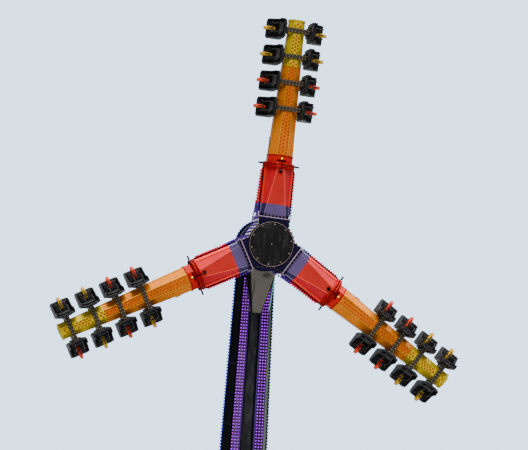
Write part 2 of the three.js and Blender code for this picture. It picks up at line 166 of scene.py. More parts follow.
def add_floor():
    builder = bmesh.new()
    bmesh.ops.create_circle(builder, cap_ends=True, segments=96, radius=FLOOR_RADIUS)
    mesh = bpy.data.meshes.new("pale_floor")
    builder.to_mesh(mesh)
    builder.free()
    floor = bpy.data.objects.new("pale_floor", mesh)
    floor.location.z = -FLOOR_DROP
    material = bpy.data.materials.new("pale_floor")
    material.use_nodes = True
    shader = material.node_tree.nodes["Principled BSDF"]
    shader.inputs["Base Color"].default_value = (0.46, 0.47, 0.48, 1.0)
    shader.inputs["Roughness"].default_value = 0.9
    mesh.materials.append(material)
    bpy.context.collection.objects.link(floor)


add_floor()
print("floor disc", FLOOR_RADIUS * 2, "metres across")

# %% [markdown]
# Every finish is made of the same few moves, so they get a small kit. A Noise or Voronoi texture
# reads Object coordinates in metres, a ramp turns it into a mask, and the mask mixes two colours
# or two roughnesses. Coat, metal and specular are plain numbers on the shader's own sockets,
# because they are the same all over.

# %% A kit for finishes
class Finish:
    """A material under construction: its nodes, its links and its shader."""

    def __init__(self, name, metal=0.0, coat=0.0, specular=0.14):
        self.material = bpy.data.materials.new(name)
        self.material.use_nodes = True
        self.tree = self.material.node_tree
        self.shader = self.tree.nodes["Principled BSDF"]
        self.fill(self.shader, {"Metallic": metal, "Coat Weight": coat, "Coat Roughness": 0.12,
                                "Specular IOR Level": specular})
        self.place = self.node("ShaderNodeTexCoord").outputs["Object"]

    def fill(self, node, values):
        """Gives each socket a number, a colour or a link from another node."""
        for key, value in values.items():
            socket = node.inputs[key]
            if isinstance(value, bpy.types.NodeSocket):
                self.tree.links.new(value, socket)
            elif socket.type == "RGBA":
                socket.default_value = (*value, 1.0)
            else:
                socket.default_value = value

    def node(self, kind, values=(), **settings):
        made = self.tree.nodes.new(kind)
        for key, value in settings.items():
            setattr(made, key, value)
        self.fill(made, dict(values))
        return made

    def stretched(self, scale, turn_y=0.0):
        values = {"Rotation": (0.0, turn_y, 0.0), "Scale": scale, "Vector": self.place}
        return self.node("ShaderNodeMapping", values).outputs["Vector"]

    def noise(self, scale, detail=4.0, roughness=0.55, vector=None):
        values = {"Scale": scale, "Detail": detail, "Roughness": roughness, "Vector": vector or self.place}
        return self.node("ShaderNodeTexNoise", values).outputs["Fac"]

    def ramp(self, value, *stops, sharp=False):
        """Each stop is a position and a grey value or a colour."""
        ramp = self.node("ShaderNodeValToRGB", {"Fac": value})
        ramp.color_ramp.interpolation = "CONSTANT" if sharp else "LINEAR"
        for element, (position, shade) in zip(ramp.color_ramp.elements, stops):
            element.position = position
            element.color = (shade, shade, shade, 1.0) if isinstance(shade, float) else (*shade, 1.0)
        return ramp.outputs["Color"]

    def distance(self, shift, scale):
        """Distance from the origin after the Object coordinates are scaled and shifted."""
        moved = self.node("ShaderNodeMapping", {"Location": shift, "Scale": scale, "Vector": self.place})
        return self.node("ShaderNodeVectorMath", {0: moved.outputs[0]}, operation="LENGTH").outputs["Value"]

    def patch(self, centre, size):
        """A mask that is 1 near a point and fades out at the given half sizes."""
        shift = [-middle / half for middle, half in zip(centre, size)]
        return self.ramp(self.distance(shift, [1.0 / half for half in size]), (0.5, 1.0), (1.0, 0.0))

    def math(self, operation, *values):
        return self.node("ShaderNodeMath", enumerate(values), operation=operation).outputs[0]

    def mix(self, factor, first, second, blend="MIX"):
        values = {0: factor, 6: first, 7: second}
        return self.node("ShaderNodeMix", values, data_type="RGBA", blend_type=blend).outputs[2]

    def close(self, colour, gloss, height, strength, distance):
        """Links colour, roughness and bump to the shader and gives the finished material."""
        bump = self.node("ShaderNodeBump", {"Strength": strength, "Distance": distance, "Height": height})
        self.fill(self.shader, {"Base Color": colour, "Roughness": gloss, "Normal": bump.outputs["Normal"]})
        return self.material


def shaded(colour, amount):
    return tuple(channel * amount for channel in colour)


print("finish kit ready")

# %% [markdown]
# Fairground paint is thick gloss over steel. Seen closely it has orange peel, a soft change of
# shade from panel to panel, dust that dulls the gloss in patches, and streaks of rain dirt that
# run down. The colour can be one shade, or a shade that changes along an arm: then the distance
# along the arm, worked out from the Object coordinates, is put through a sharp ramp.

# %% Gloss paint
GRIME = (0.30, 0.24, 0.20)
PAINT_REACH = 8.0


def arm_distance(finish, place, axis):
    """Distance from the hub's middle in an arm's own X (0), Y (1) or Z (2), as a socket."""
    moved = finish.node("ShaderNodeMapping", {"Location": -HUB, "Vector": finish.place})
    values = {0: moved.outputs[0], 1: ARM_FRAMES[place].to_3x3().col[axis]}
    return finish.node("ShaderNodeVectorMath", values, operation="DOT_PRODUCT").outputs["Value"]


def bands_along(finish, along, *bands):
    """A colour that changes sharply at given distances along an arm."""
    stops = [(start / PAINT_REACH, colour) for start, colour in bands]
    return finish.ramp(finish.math("DIVIDE", along, PAINT_REACH), *stops, sharp=True)


def dress_paint(finish, base, dirt):
    """Dust, rain streaks, orange peel and uneven gloss. Grime darkens the colour that it lies on."""
    cloud = finish.ramp(finish.noise(1.3, detail=3.0), (0.32, 0.86), (0.72, 1.08))
    clean = finish.mix(1.0, base, cloud, blend="MULTIPLY")
    streaks = finish.noise(2.2, detail=7.0, roughness=0.68, vector=finish.stretched((3.4, 3.4, 0.35)))
    speckle = finish.noise(26.0, detail=3.0)
    mask = finish.math("MULTIPLY", finish.ramp(streaks, (0.50, 0.0), (0.72, dirt)), speckle)
    colour = finish.mix(mask, clean, finish.mix(1.0, clean, GRIME, blend="MULTIPLY"))
    dull = finish.math("ADD", mask, finish.math("MULTIPLY", streaks, 0.5))
    peel = finish.math("ADD", finish.noise(90.0, detail=2.0), finish.noise(2.5, detail=1.0))
    return finish.close(colour, finish.ramp(dull, (0.20, 0.26), (0.62, 0.58)), peel, 0.10, 0.004)


def gloss_paint(name, colour, dirt=0.5, coat=0.0, specular=0.10, metal=0.0):
    finish = Finish(name, coat=coat, specular=specular, metal=metal)
    base = finish.ramp(finish.noise(0.6, detail=2.0), (0.35, shaded(colour, 0.88)), (0.65, colour))
    return dress_paint(finish, base, dirt)


def beam_paint(place):
    finish = Finish("beam_paint_" + place, specular=0.08, metal=0.30)
    bands = (0.0, ORANGE), (BEAM_COLOUR_CHANGE, YELLOW)
    return dress_paint(finish, bands_along(finish, arm_distance(finish, place, 2), *bands), 0.6)


RED = (0.52, 0.020, 0.014)
DARK_RED = (0.54, 0.004, 0.002)
PURPLE = (0.104, 0.068, 0.175)
ORANGE = (0.62, 0.165, 0.001)
YELLOW = (0.58, 0.42, 0.001)
ROOT_COLOUR_CHANGE = 1.36
BEAM_COLOUR_CHANGE = 6.13

tower_black = gloss_paint("tower_black_paint", (0.0070, 0.0073, 0.0088), dirt=0.25, specular=0.0)
head_blue = gloss_paint("head_dark_blue_paint", (0.006, 0.006, 0.036), dirt=0.3)
hub_indigo = gloss_paint("hub_indigo_paint", (0.006, 0.0035, 0.022), dirt=0.3, specular=0.05)
flange_red = gloss_paint("flange_red_paint", DARK_RED, dirt=0.6, metal=0.2)
base_grey = gloss_paint("base_grey_paint", (0.055, 0.058, 0.066), dirt=0.8, specular=0.3)
edge_black = gloss_paint("edge_black_paint", (0.003, 0.0026, 0.004), dirt=0.2, specular=0.0)
print(len(bpy.data.materials), "finishes so far")

# %% [markdown]
# The long front panels are purple sheet around hundreds of bulbs. The sheet on the left is
# lighter and dustier than the sheet on the right. Dust settles in soft clouds, so two noises of
# very different scale are laid over each other.

# %% Purple panel sheet
PANEL_DUST = (0.16, 0.13, 0.19)


def panel_sheet(name, colour, dusty):
    finish = Finish(name)
    base = finish.ramp(finish.noise(2.0, detail=3.0), (0.30, shaded(colour, 0.72)), (0.70, colour))
    dust = finish.ramp(finish.noise(4.5, detail=6.0), (0.40, 0.0), (0.80, dusty))
    gloss = finish.ramp(finish.noise(7.0), (0.30, 0.34), (0.70, 0.62))
    shade = finish.mix(dust, base, PANEL_DUST)
    return finish.close(shade, gloss, finish.noise(38.0, detail=3.0), 0.12, 0.004)


left_sheet = panel_sheet("left_purple_sheet", (0.052, 0.024, 0.090), 0.55)
right_sheet = panel_sheet("right_purple_sheet", (0.014, 0.005, 0.034), 0.15)
print("two purple sheets")

# %% [markdown]
# Bulbs are small domes of coloured plastic, lit from inside. Emission alone looks flat, so the
# dome keeps a little gloss and only part of its light is its own. Each socket under a bulb is a
# dark ring, partly the socket and partly a painted shadow round the bulb's foot, which gives the
# rows their dotted look from far away.

# %% Bulbs and sockets
def bulb_plastic(name, colour, glow, coat=0.10):
    finish = Finish(name, coat=coat, specular=0.05 + coat)
    shade = finish.ramp(finish.noise(0.9, detail=2.0), (0.35, shaded(colour, 0.72)), (0.65, colour))
    finish.fill(finish.shader, {"Emission Color": shade, "Emission Strength": glow})
    return finish.close(shade, 0.22, finish.noise(60.0), 0.05, 0.002)


violet_bulb = bulb_plastic("violet_bulb", (0.34, 0.0, 0.80), 1.8, coat=0.04)
blue_bulb = bulb_plastic("blue_bulb", (0.003, 0.014, 0.50), 0.7, coat=0.02)
deep_blue_bulb = bulb_plastic("deep_blue_bulb", (0.008, 0.002, 0.20), 0.4, coat=0.0)
purple_bulb = bulb_plastic("purple_bulb", (0.050, 0.001, 0.26), 0.5, coat=0.0)
red_bulb = bulb_plastic("red_bulb", (0.52, 0.001, 0.026), 0.4, coat=0.02)
amber_bulb = bulb_plastic("brown_red_bulb", (0.38, 0.068, 0.001), 0.05)
beacon_yellow = bulb_plastic("yellow_beacon", (0.90, 0.62, 0.0), 1.1)
socket_and_shadow_black = gloss_paint("socket_and_shadow_black", (0.004, 0.003, 0.005), dirt=0.2, specular=0.0)
print("seven bulb plastics")

# %% [markdown]
# Three more sheets belong to the tower. The middle channel is near black and smeared with
# grease, which is lighter and duller than the paint. The apron under the hub is bare grey sheet
# with a darker smear at its top and a long upright scratch on its left. The narrow strip on the
# right is painted grey-green as the sunlit side of the dark cladding that is black in shade on
# the left: painted light. Steel parts are made the same way.

# %% Channel, apron and strip
def smeared_sheet(name, colour, smear, amount, metal=0.0, rough=(0.38, 0.66), specular=0.14, patches=()):
    finish = Finish(name, metal=metal, specular=specular)
    long_noise = finish.noise(1.6, detail=8.0, roughness=0.66, vector=finish.stretched((2.2, 2.2, 0.55)))
    scratches = finish.noise(9.0, detail=5.0, vector=finish.stretched((5.0, 5.0, 0.22)))
    base = finish.ramp(long_noise, (0.30, shaded(colour, 0.75)), (0.72, colour))
    mask = finish.ramp(finish.math("MULTIPLY", long_noise, scratches), (0.22, 0.0), (0.40, amount))
    shade = finish.mix(mask, base, smear)
    for centre, size in patches:
        broken = finish.ramp(scratches, (0.35, 0.4), (0.55, 1.0))
        shade = finish.mix(finish.math("MULTIPLY", finish.patch(centre, size), broken), shade, smear)
    gloss = finish.ramp(scratches, (0.30, rough[0]), (0.70, rough[1]))
    return finish.close(shade, gloss, scratches, 0.15, 0.004)


APRON_SMEAR = (0.15, -1.05, 8.57), (0.22, 0.6, 0.12)
APRON_SCRATCH = (-0.23, -0.95, 8.06), (0.035, 0.6, 0.42)
channel_black = smeared_sheet(
    "greased_channel", (0.007, 0.0075, 0.009), (0.042, 0.045, 0.048), 0.8, specular=0.10)
apron_grey = smeared_sheet("apron_sheet", (0.135, 0.124, 0.103), (0.020, 0.019, 0.018), 0.35,
                           patches=(APRON_SMEAR, APRON_SCRATCH))
# Painted light: the lit grey-green copy of the cladding that is black on the shaded left.
sunlit_strip_green = smeared_sheet("painted_sunlit_grey_green_strip", (0.080, 0.104, 0.096), (0.04, 0.045, 0.042), 0.4)
bare_steel = smeared_sheet(
    "bare_steel", (0.42, 0.42, 0.43), (0.20, 0.18, 0.16), 0.5, metal=1.0, rough=(0.26, 0.46))
dark_steel = smeared_sheet(
    "dark_steel", (0.024, 0.024, 0.027), (0.07, 0.065, 0.06), 0.4, metal=0.6, rough=(0.32, 0.55))
ring_beige = smeared_sheet("pale_ring_steel", (0.38, 0.26, 0.28), (0.16, 0.11, 0.10), 0.5, metal=0.3)
screw_tan = smeared_sheet("dull_screw_tan", (0.46, 0.41, 0.31), (0.20, 0.16, 0.10), 0.5)
print("sheets and steels ready")

# %% [markdown]
# The big round cover is black satin sheet that turns with the hub, so its fine marks run in
# circles round the axis. The distance from the axis feeds a noise, which makes rings; a second
# cloud of dust breaks them up.

# %% Cover sheet
def cover_sheet():
    finish = Finish("cover_satin_black", specular=0.08)
    from_axis = finish.distance(-HUB, (1.0, 0.0, 1.0))
    rings = finish.node("ShaderNodeTexNoise", noise_dimensions="1D")
    finish.fill(rings, {"Scale": 55.0, "W": from_axis})
    cloud = finish.noise(3.2, detail=7.0, roughness=0.65)
    streak = finish.noise(2.0, detail=6.0, vector=finish.stretched((4.0, 1.0, 0.6), turn_y=0.7))
    dust = finish.ramp(finish.math("MULTIPLY", cloud, streak), (0.24, 0.0), (0.46, 0.75))
    colour = finish.mix(dust, (0.0055, 0.0052, 0.0055), (0.034, 0.034, 0.035))
    ring = rings.outputs["Fac"]
    return finish.close(colour, finish.ramp(ring, (0.30, 0.36), (0.70, 0.52)), ring, 0.08, 0.003)


cover_black = cover_sheet()
print("cover sheet ready")

# %% [markdown]
# Seats need three finishes. The shells are black moulded plastic with a pebbled grain. The pads
# are soft black vinyl, dull and finely creased. The saddles between the riders' legs are
# glossy coloured plastic, orange on the inner rows and yellow on the outer ones.

# %% Seat finishes
def moulded_plastic(name, colour, rough=0.46, grain=140.0, specular=0.25):
    finish = Finish(name, specular=specular)
    base = finish.ramp(finish.noise(3.0), (0.30, shaded(colour, 0.75)), (0.70, colour))
    scuffs = finish.ramp(finish.noise(9.0, detail=8.0, roughness=0.7), (0.60, 0.0), (0.80, 0.4))
    gloss = finish.ramp(scuffs, (0.0, rough), (0.5, min(0.9, rough + 0.2)))
    grained = finish.node("ShaderNodeTexVoronoi", {"Scale": grain, "Vector": finish.place})
    colour = finish.mix(scuffs, base, shaded(colour, 0.45))
    return finish.close(colour, gloss, grained.outputs["Distance"], 0.18, 0.002)


def soft_vinyl(name, colour):
    finish = Finish(name, specular=0.25)
    creases = finish.noise(34.0, detail=6.0, roughness=0.6)
    base = finish.ramp(finish.noise(5.0), (0.30, shaded(colour, 0.70)), (0.70, colour))
    colour = finish.mix(finish.ramp(creases, (0.50, 0.0), (0.85, 0.5)), base, shaded(colour, 2.2))
    finish.fill(finish.shader, {"Sheen Weight": 0.06})
    return finish.close(colour, finish.ramp(creases, (0.30, 0.48), (0.70, 0.68)), creases, 0.3, 0.003)


shell_black = moulded_plastic("seat_shell_black", (0.010, 0.010, 0.012))
pad_vinyl = soft_vinyl("seat_pad_vinyl", (0.009, 0.009, 0.011))
saddle_orange = moulded_plastic("saddle_orange", (0.80, 0.045, 0.004), rough=0.30, specular=0.12)
saddle_yellow = moulded_plastic("saddle_yellow", (0.66, 0.37, 0.001), rough=0.30, specular=0.12)
grip_rubber = moulded_plastic("grip_rubber", (0.016, 0.016, 0.018), rough=0.7, grain=220.0)
print(len(bpy.data.materials), "finishes in all")

# %% [markdown]
# Solids whose shape is already right stay as they are and only get a finish in their material
# slot. The frame's mesh is never touched.

# %% Finish the solids that stay
def dress(material, *nodes):
    for node in nodes:
        NODES[node].material_slots[0].material = material


dress(tower_black, "tower_column", "left_side_rail", "right_side_rail", "apron_bracket")
dress(base_grey, "centre_frame", "mast_foot", "outrigger_front_left", "outrigger_front_right",
      "outrigger_rear_left", "outrigger_rear_right")
dress(left_sheet, "left_bulb_panel")
dress(right_sheet, "right_bulb_panel")
dress(channel_black, "centre_channel")
dress(sunlit_strip_green, "right_edge_strip")
dress(apron_grey, "apron_plate")
dress(head_blue, "tower_head")
dress(cover_black, "hub_cover")
dress(bare_steel, "main_bearing")
dress(hub_indigo, "hub_body")
dress(ring_beige, "cover_ring")
for place in ARM_FRAMES:
    dress(flange_red, "ring_flange_" + place, "arm_collar_" + place)
    dress(beam_paint(place), "arm_beam_" + place)
    dress(shell_black, *["seat_row_%s_%d" % (place, row) for row in range(1, 5)])
print(len(NODES), "solids in the ride")

# %% [markdown]
# New pieces are all made the same way. A function adds shapes to an empty builder, in an arm's
# own frame or in the ride's. The result is laid in its place, its normals are recalculated so
# that its faces point outwards, it is written to a mesh, and it rides on a body of the ride.
# Most pieces of the arms are made three times, once in each arm's frame.

# %% Turn a built shape into a piece
def make_piece(name, body, make, materials, lay=None, replaced=()):
    builder = bmesh.new()
    make(builder)
    if lay is not None:
        bmesh.ops.transform(builder, matrix=lay, verts=builder.verts)
    bmesh.ops.recalc_face_normals(builder, faces=builder.faces)
    mesh = bpy.data.meshes.new(name)
    builder.to_mesh(mesh)
    builder.free()
    for material in materials:
        mesh.materials.append(material)
    piece = bpy.data.objects.new(name, mesh)
    bpy.context.collection.objects.link(piece)
    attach(piece, body)
    if replaced:
        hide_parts(*replaced)
    return piece


def make_on_arms(name, make, materials, outer=False, replaced=()):
    """One piece for each arm. It rides on the rotor or on the outer arm that spins."""
    pieces = []
    for place, lay in ARM_FRAMES.items():
        body = place + "_arm" if outer else "rotor"
        nodes = [node % place for node in replaced]
        pieces.append(make_piece(name + "_" + place, body, make, materials, lay, nodes))
    return pieces


def count_faces(pieces):
    return sum(len(piece.data.polygons) for piece in pieces)


print("ready to make pieces")

# %% [markdown]
# A few helpers give evenly spaced places: between two ends, at a fixed pitch, round a circle, and
# along a line with corners. Another is a matrix that stands a shape on a surface.

# %% Evenly spaced places
def spread(low, high, count):
    """Evenly spaced values from low to high, with both ends."""
    return [low + (high - low) * index / (count - 1) for index in range(count)]


def at_pitch(low, high, pitch):
    """Values from low on in even steps, as long as they lie below high."""
    return [low + index * pitch for index in range(math.ceil((high - low) / pitch))]


def around(count, first=0.0):
    """Directions in even steps round the Z axis. First is the angle of the first one."""
    angles = [first + math.tau * index / count for index in range(count)]
    return [Vector((math.cos(angle), math.sin(angle), 0.0)) for angle in angles]


def walk(corners, pitch, first):
    """Even steps along a line with corners. Gives each point and the direction there."""
    walked = first
    for start, end in zip(corners, corners[1:]):
        length = (end - start).length
        while walked <= length:
            yield start.lerp(end, walked / length), (end - start) / length
            walked += pitch
        walked -= length


def facing(point, normal):
    """A place whose Z axis points along the normal."""
    return Matrix.Translation(point) @ Vector(normal).to_track_quat("Z", "Y").to_matrix().to_4x4()


def stretch(x, y, z):
    return Matrix.Diagonal((x, y, z, 1.0))


print("even steps ready")

# %% [markdown]
# The small round shapes are a dome and a bar. A disc is a short bar that stands on a surface.
# Boxes and flat outlines can have their edges rounded over.

# %% Small shapes
def faces_of(verts):
    return {face for vert in verts for face in vert.link_faces}


def paint(faces, material, smooth=False):
    for face in faces:
        face.material_index = material
        face.smooth = smooth


def add_dome(builder, height, radius=1.0, tall=0.62, material=0):
    """A bulb at the origin: a ball pressed flat, half sunk in what carries it."""
    place = Matrix.Translation((0, 0, height)) @ stretch(radius, radius, radius * tall)
    made = bmesh.ops.create_uvsphere(builder, u_segments=8, v_segments=6, radius=1.0, matrix=place)
    paint(faces_of(made["verts"]), material, smooth=True)


def add_bar(builder, start, end, radius, sides=10, material=0, taper=1.0, smooth=True):
    """A round bar between two points. Its ends are flat."""
    start, end = Vector(start), Vector(end)
    made = bmesh.ops.create_cone(
        builder, cap_ends=True, segments=sides, radius1=radius, radius2=radius * taper,
        depth=(end - start).length, matrix=facing((start + end) / 2, end - start))
    for face in faces_of(made["verts"]):
        paint([face], material, smooth and len(face.verts) == 4)


def add_disc(builder, point, normal, radius, thickness, sides=10, material=0, taper=1.0):
    """A short round piece that stands on a surface, with sharp edges."""
    end = Vector(point) + Vector(normal) * thickness
    add_bar(builder, point, end, radius, sides, material, taper, smooth=False)


def soften(builder, faces, width):
    """Rounds over all edges of a shape and gives the faces of its edges."""
    edges = list({edge for face in faces for edge in face.edges})
    bent = bmesh.ops.bevel(
        builder, geom=edges, offset=width, segments=2, profile=0.5, affect="EDGES", material=-1)
    return {face for face in faces if face.is_valid} | set(bent["faces"])


def add_box(builder, corner, opposite, material=0, bevel=0.0):
    """A box between two opposite corners, in any order."""
    corner, opposite = Vector(corner), Vector(opposite)
    place = Matrix.Translation((corner + opposite) / 2) @ stretch(*map(abs, opposite - corner))
    faces = faces_of(bmesh.ops.create_cube(builder, size=1.0, matrix=place)["verts"])
    paint(soften(builder, faces, bevel) if bevel else faces, material)


print("small shapes ready")

# %% [markdown]
# Four more helpers make the larger shapes. A strip is a box that runs from one point to another
# with a given width across and a given height. A spun shape turns a profile of radius and height
# round an axis, and its seam is merged. An extruded shape gives an outline a thickness. A tube
# follows a list of points.

# %% Strips, spun shapes, outlines and tubes
def add_strip(builder, start, end, up, width, height, material=0, lift=0.0):
    """A box between two points. Its underside lies on them, or is lifted along up."""
    start, end, up = Vector(start), Vector(end), Vector(up)
    along = (end - start).normalized()
    across = along.cross(up).normalized()
    rise = across.cross(along).normalized()
    middle = (start + end) / 2 + rise * (lift + height / 2)
    turn = Matrix((across, along, rise)).transposed().to_4x4()
    place = Matrix.Translation(middle) @ turn @ stretch(width, (end - start).length, height)
    paint(faces_of(bmesh.ops.create_cube(builder, size=1.0, matrix=place)["verts"]), material)


def add_spun(builder, profile, place, steps=48, material=0):
    """Turns a profile of (radius, height) pairs round the Z axis of place."""
    before = set(builder.verts)
    points = [builder.verts.new((radius, 0.0, height)) for radius, height in profile]
    edges = [builder.edges.new(pair) for pair in zip(points, points[1:])]
    bmesh.ops.spin(
        builder, geom=points + edges, cent=(0, 0, 0), axis=(0, 0, 1), angle=math.tau, steps=steps,
        use_merge=True, use_duplicate=False)
    verts = [vert for vert in builder.verts if vert not in before]
    bmesh.ops.remove_doubles(builder, verts=verts, dist=0.0002)
    verts = [vert for vert in verts if vert.is_valid]
    bmesh.ops.transform(builder, matrix=place, verts=verts)
    paint(faces_of(verts), material, smooth=True)


def add_extruded(builder, outline, thickness, place, material=0, bevel=0.0):
    """Gives an outline in the plane of X and Y a thickness along Z, half to each side."""
    points = [builder.verts.new((x, y, -thickness / 2)) for x, y in outline]
    grown = bmesh.ops.extrude_face_region(builder, geom=[builder.faces.new(points)])
    top = [item for item in grown["geom"] if isinstance(item, bmesh.types.BMVert)]
    bmesh.ops.translate(builder, vec=(0, 0, thickness), verts=top)
    faces = faces_of(points + top)
    bmesh.ops.recalc_face_normals(builder, faces=list(faces))
    verts = list({vert for face in soften(builder, faces, bevel) for vert in face.verts})
    bmesh.ops.transform(builder, matrix=place, verts=verts)
    paint(faces_of(verts), material)


def add_tube(builder, points, radius, sides=8, material=0):
    """A round tube through a list of points, with closed ends."""
    points = [Vector(point) for point in points]
    rings = []
    for before, point, after in zip(points[:1] + points, points, points[1:] + points[-1:]):
        place = facing(point, after - before)
        rings.append(bmesh.ops.create_circle(builder, segments=sides, radius=radius, matrix=place)["verts"])
    for first, second in zip(rings, rings[1:]):
        turned = [second[shift:] + second[:shift] for shift in range(sides)]
        gaps = [sum((one.co - two.co).length for one, two in zip(first, ring)) for ring in turned]
        nearest = turned[gaps.index(min(gaps))]
        for step in range(sides):
            corners = (first[step - 1], first[step], nearest[step], nearest[step - 1])
            builder.faces.new(corners).smooth = True
    for ring in (rings[0], rings[-1]):
        builder.faces.new(ring)
    for face in faces_of([vert for ring in rings for vert in ring]):
        face.material_index = material


print("larger shapes ready")

# %% [markdown]
# The ride has about two thousand bulbs and hundreds of bolts. A small shape is therefore made
# once, kept as a mesh, and stamped wherever it is wanted: its corners are moved to the new place
# and copied into the builder. A bulb is a dark socket ring with a dome of coloured plastic on it,
# and a bolt is a hexagon head on a thin washer. Both are made with radius 1 and scaled.

# %% Stamps, bulbs and bolts
BULB_PITCH = 0.1075
STAMPS = {}


def stamp(builder, name, make, place):
    """Copies a small shape into the builder. It is made at the first use."""
    if name not in STAMPS:
        shape = bmesh.new()
        make(shape)
        bmesh.ops.recalc_face_normals(shape, faces=shape.faces)
        mesh = bpy.data.meshes.new(name)
        shape.to_mesh(mesh)
        shape.free()
        STAMPS[name] = mesh, [vertex.co.copy() for vertex in mesh.vertices]
    mesh, corners = STAMPS[name]
    mesh.vertices.foreach_set("co", [value for corner in corners for value in place @ corner])
    builder.from_mesh(mesh)


# The dark ring under each bulb is its socket and a painted shadow round its foot.
def make_bulb(shape):
    add_disc(shape, (0, 0, 0), Z, 1.33, 0.37, sides=8, material=1)
    add_dome(shape, 0.37)


def add_bulb(builder, point, normal, radius, tall=1.0):
    stamp(builder, "bulb", make_bulb, facing(point, normal) @ stretch(radius, radius, radius * tall))


def add_bolt(builder, point, normal, radius, height, material=1):
    def make_bolt(shape):
        add_disc(shape, (0, 0, 0), Z, 1.35, 0.25, material=material)
        add_disc(shape, (0, 0, 0.25), Z, 1.0, 0.75, sides=6, material=material, taper=0.92)

    stamp(builder, "bolt_%d" % material, make_bolt, facing(point, normal) @ stretch(radius, radius, height))


print("bulbs and bolts ready")

# %% [markdown]
# The tower comes first. Its column narrows upwards, so small functions give its half width and
# the depth of its faces at each height. The apron in front widens upwards instead.

# %% The tower's taper
TAPER_HEIGHT = 9.6
APRON_BOTTOM, APRON_TOP = HUB.z - 2.28, HUB.z - 0.76
HEAD_CENTRE = Vector((0.0, 0.0, HUB.z - 0.03))
HEAD_RADIUS = 0.86
PANEL_LOW, PANEL_HIGH = 1.361, HUB.z - 0.70
PANEL_FACE = 0.055
CROWDING_FROM = APRON_BOTTOM - 0.14


def half_x(z):
    return 0.68 - 0.18 * z / TAPER_HEIGHT


def front_y(z):
    return -0.62 + 0.155 * z / TAPER_HEIGHT


def rear_y(z):
    return 0.96 - 0.22 * z / TAPER_HEIGHT


def apron_share(z):
    return (z - APRON_BOTTOM) / (APRON_TOP - APRON_BOTTOM)


def apron_half(z):
    return 0.180 + 0.308 * apron_share(z)


def apron_front_y(z):
    bottom = front_y(APRON_BOTTOM) - 0.09
    return bottom + (-1.36 - bottom) * apron_share(z) - 0.0255


def hidden_on_front(point, margin):
    """True where the apron or the head covers the tower's front."""
    beside_apron = point.z > CROWDING_FROM and abs(point.x) < apron_half(max(point.z, APRON_BOTTOM)) + margin
    return beside_apron or math.hypot(point.x, point.z - HEAD_CENTRE.z) < HEAD_RADIUS + margin


def on_front(share, z, offset):
    return Vector((share * half_x(z), front_y(z) - offset, z))


print("half width", round(half_x(0), 3), "at the ground,", round(half_x(HUB.z), 3), "at the hub")

# %% [markdown]
# Each purple panel carries three columns of violet bulbs in level rows. Between two bulbs of a
# column lies a black vent, which darkens the panels. Where the apron or the head covers a panel,
# the bulbs stop. On the right they give way first: beside the apron the columns crowd together.

# %% Violet bulbs on the panels
def bulb_place(share, z):
    """A place on the panels. Beside the apron the right-hand columns are crowded outwards."""
    point = on_front(share, z, PANEL_FACE)
    if share > 0 and z > CROWDING_FROM:
        outer, inner = 0.81 * half_x(z), 0.37 * half_x(z)
        seen_edge = apron_half(max(z, APRON_BOTTOM)) + 0.19 * (front_y(z) - apron_front_y(z)) - 0.02
        point.x = outer - (outer - point.x) * min(1.0, max(0.0, outer - seen_edge) / (outer - inner))
    return point


def make_vent(shape):
    add_disc(shape, (0, 0, 0), Z, 0.023, 0.006, sides=6, material=1)


def panel_bulbs(name, shares, margin):
    def make(builder):
        for share in shares:
            for z in at_pitch(PANEL_LOW + 0.07, PANEL_HIGH, BULB_PITCH):
                point, vent = bulb_place(share, z), bulb_place(share, z + BULB_PITCH / 2)
                if not hidden_on_front(point, margin):
                    add_bulb(builder, point, -Y, 0.025)
                if not hidden_on_front(vent, 0.03):
                    stamp(builder, "vent", make_vent, facing(vent, -Y))

    return make_piece(name, "tower", make, [violet_bulb, socket_and_shadow_black])


panels = [panel_bulbs("left_panel_bulbs", (-0.915, -0.750, -0.585), 0.055),
          panel_bulbs("right_panel_bulbs", (0.425, 0.585, 0.745), 0.0)]
print("bulbs on two panels,", count_faces(panels), "faces")

# %% [markdown]
# Plain purple strips close the panels towards the channel, and thin black lips frame the
# channel itself. The strip on the right is wide and covers part of the channel. The strips are
# laid in short lengths with a hairline joint between them, as sheet is about two metres long.

# %% Panel strips and channel lips
plain_purple = gloss_paint("plain_purple_strip", (0.040, 0.016, 0.110), dirt=0.4)
STRIP_LENGTH = 1.95
FRONT_STRIPS = [                        # share of the half width, offset, width, height, material
    (-0.485, 0.055, 0.040, 0.014, 0), (-0.415, 0.055, 0.044, 0.016, 1), (0.318, 0.018, 0.060, 0.046, 0),
    (0.216, 0.018, 0.054, 0.050, 1), (-0.978, 0.055, 0.016, 0.016, 1)]


def lengths(low, high, step):
    """Cuts a height into lengths. The last one may be up to 1.4 steps long."""
    cuts = [low]
    while cuts[-1] + step * 1.4 < high:
        cuts.append(cuts[-1] + step)
    return list(zip(cuts, cuts[1:] + [high]))


def panel_strips(builder):
    for share, offset, width, height, material in FRONT_STRIPS:
        for low, high in lengths(PANEL_LOW + 0.01, APRON_BOTTOM - 0.03, STRIP_LENGTH):
            add_strip(builder, on_front(share, low, offset), on_front(share, high - 0.008, offset),
                      -Y, width, height, material)


make_piece("panel_strips", "tower", panel_strips, [plain_purple, edge_black])
print("strips and lips laid")

# %% [markdown]
# The channel is closed by cover sheets that are screwed down along both sides. Each sheet has a
# rounded edge and stands a few millimetres proud of the channel.

# %% Sheets in the channel
SHEET_LENGTH = 1.18


def channel_sheets(builder):
    for low, high in lengths(PANEL_LOW + 0.02, APRON_BOTTOM - 0.05, SHEET_LENGTH):
        middle, top = (low + high) / 2, high - 0.014
        left, right = -0.345 * half_x(middle), 0.165 * half_x(middle)
        face = front_y(middle) - 0.032
        add_box(builder, (left, face, low), (right, face + 0.018, top), bevel=0.005)
        for x in (left + 0.035, right - 0.035):
            for z in spread(low + 0.05, top - 0.05, 3):
                add_bolt(builder, (x, face, z), -Y, 0.011, 0.010)


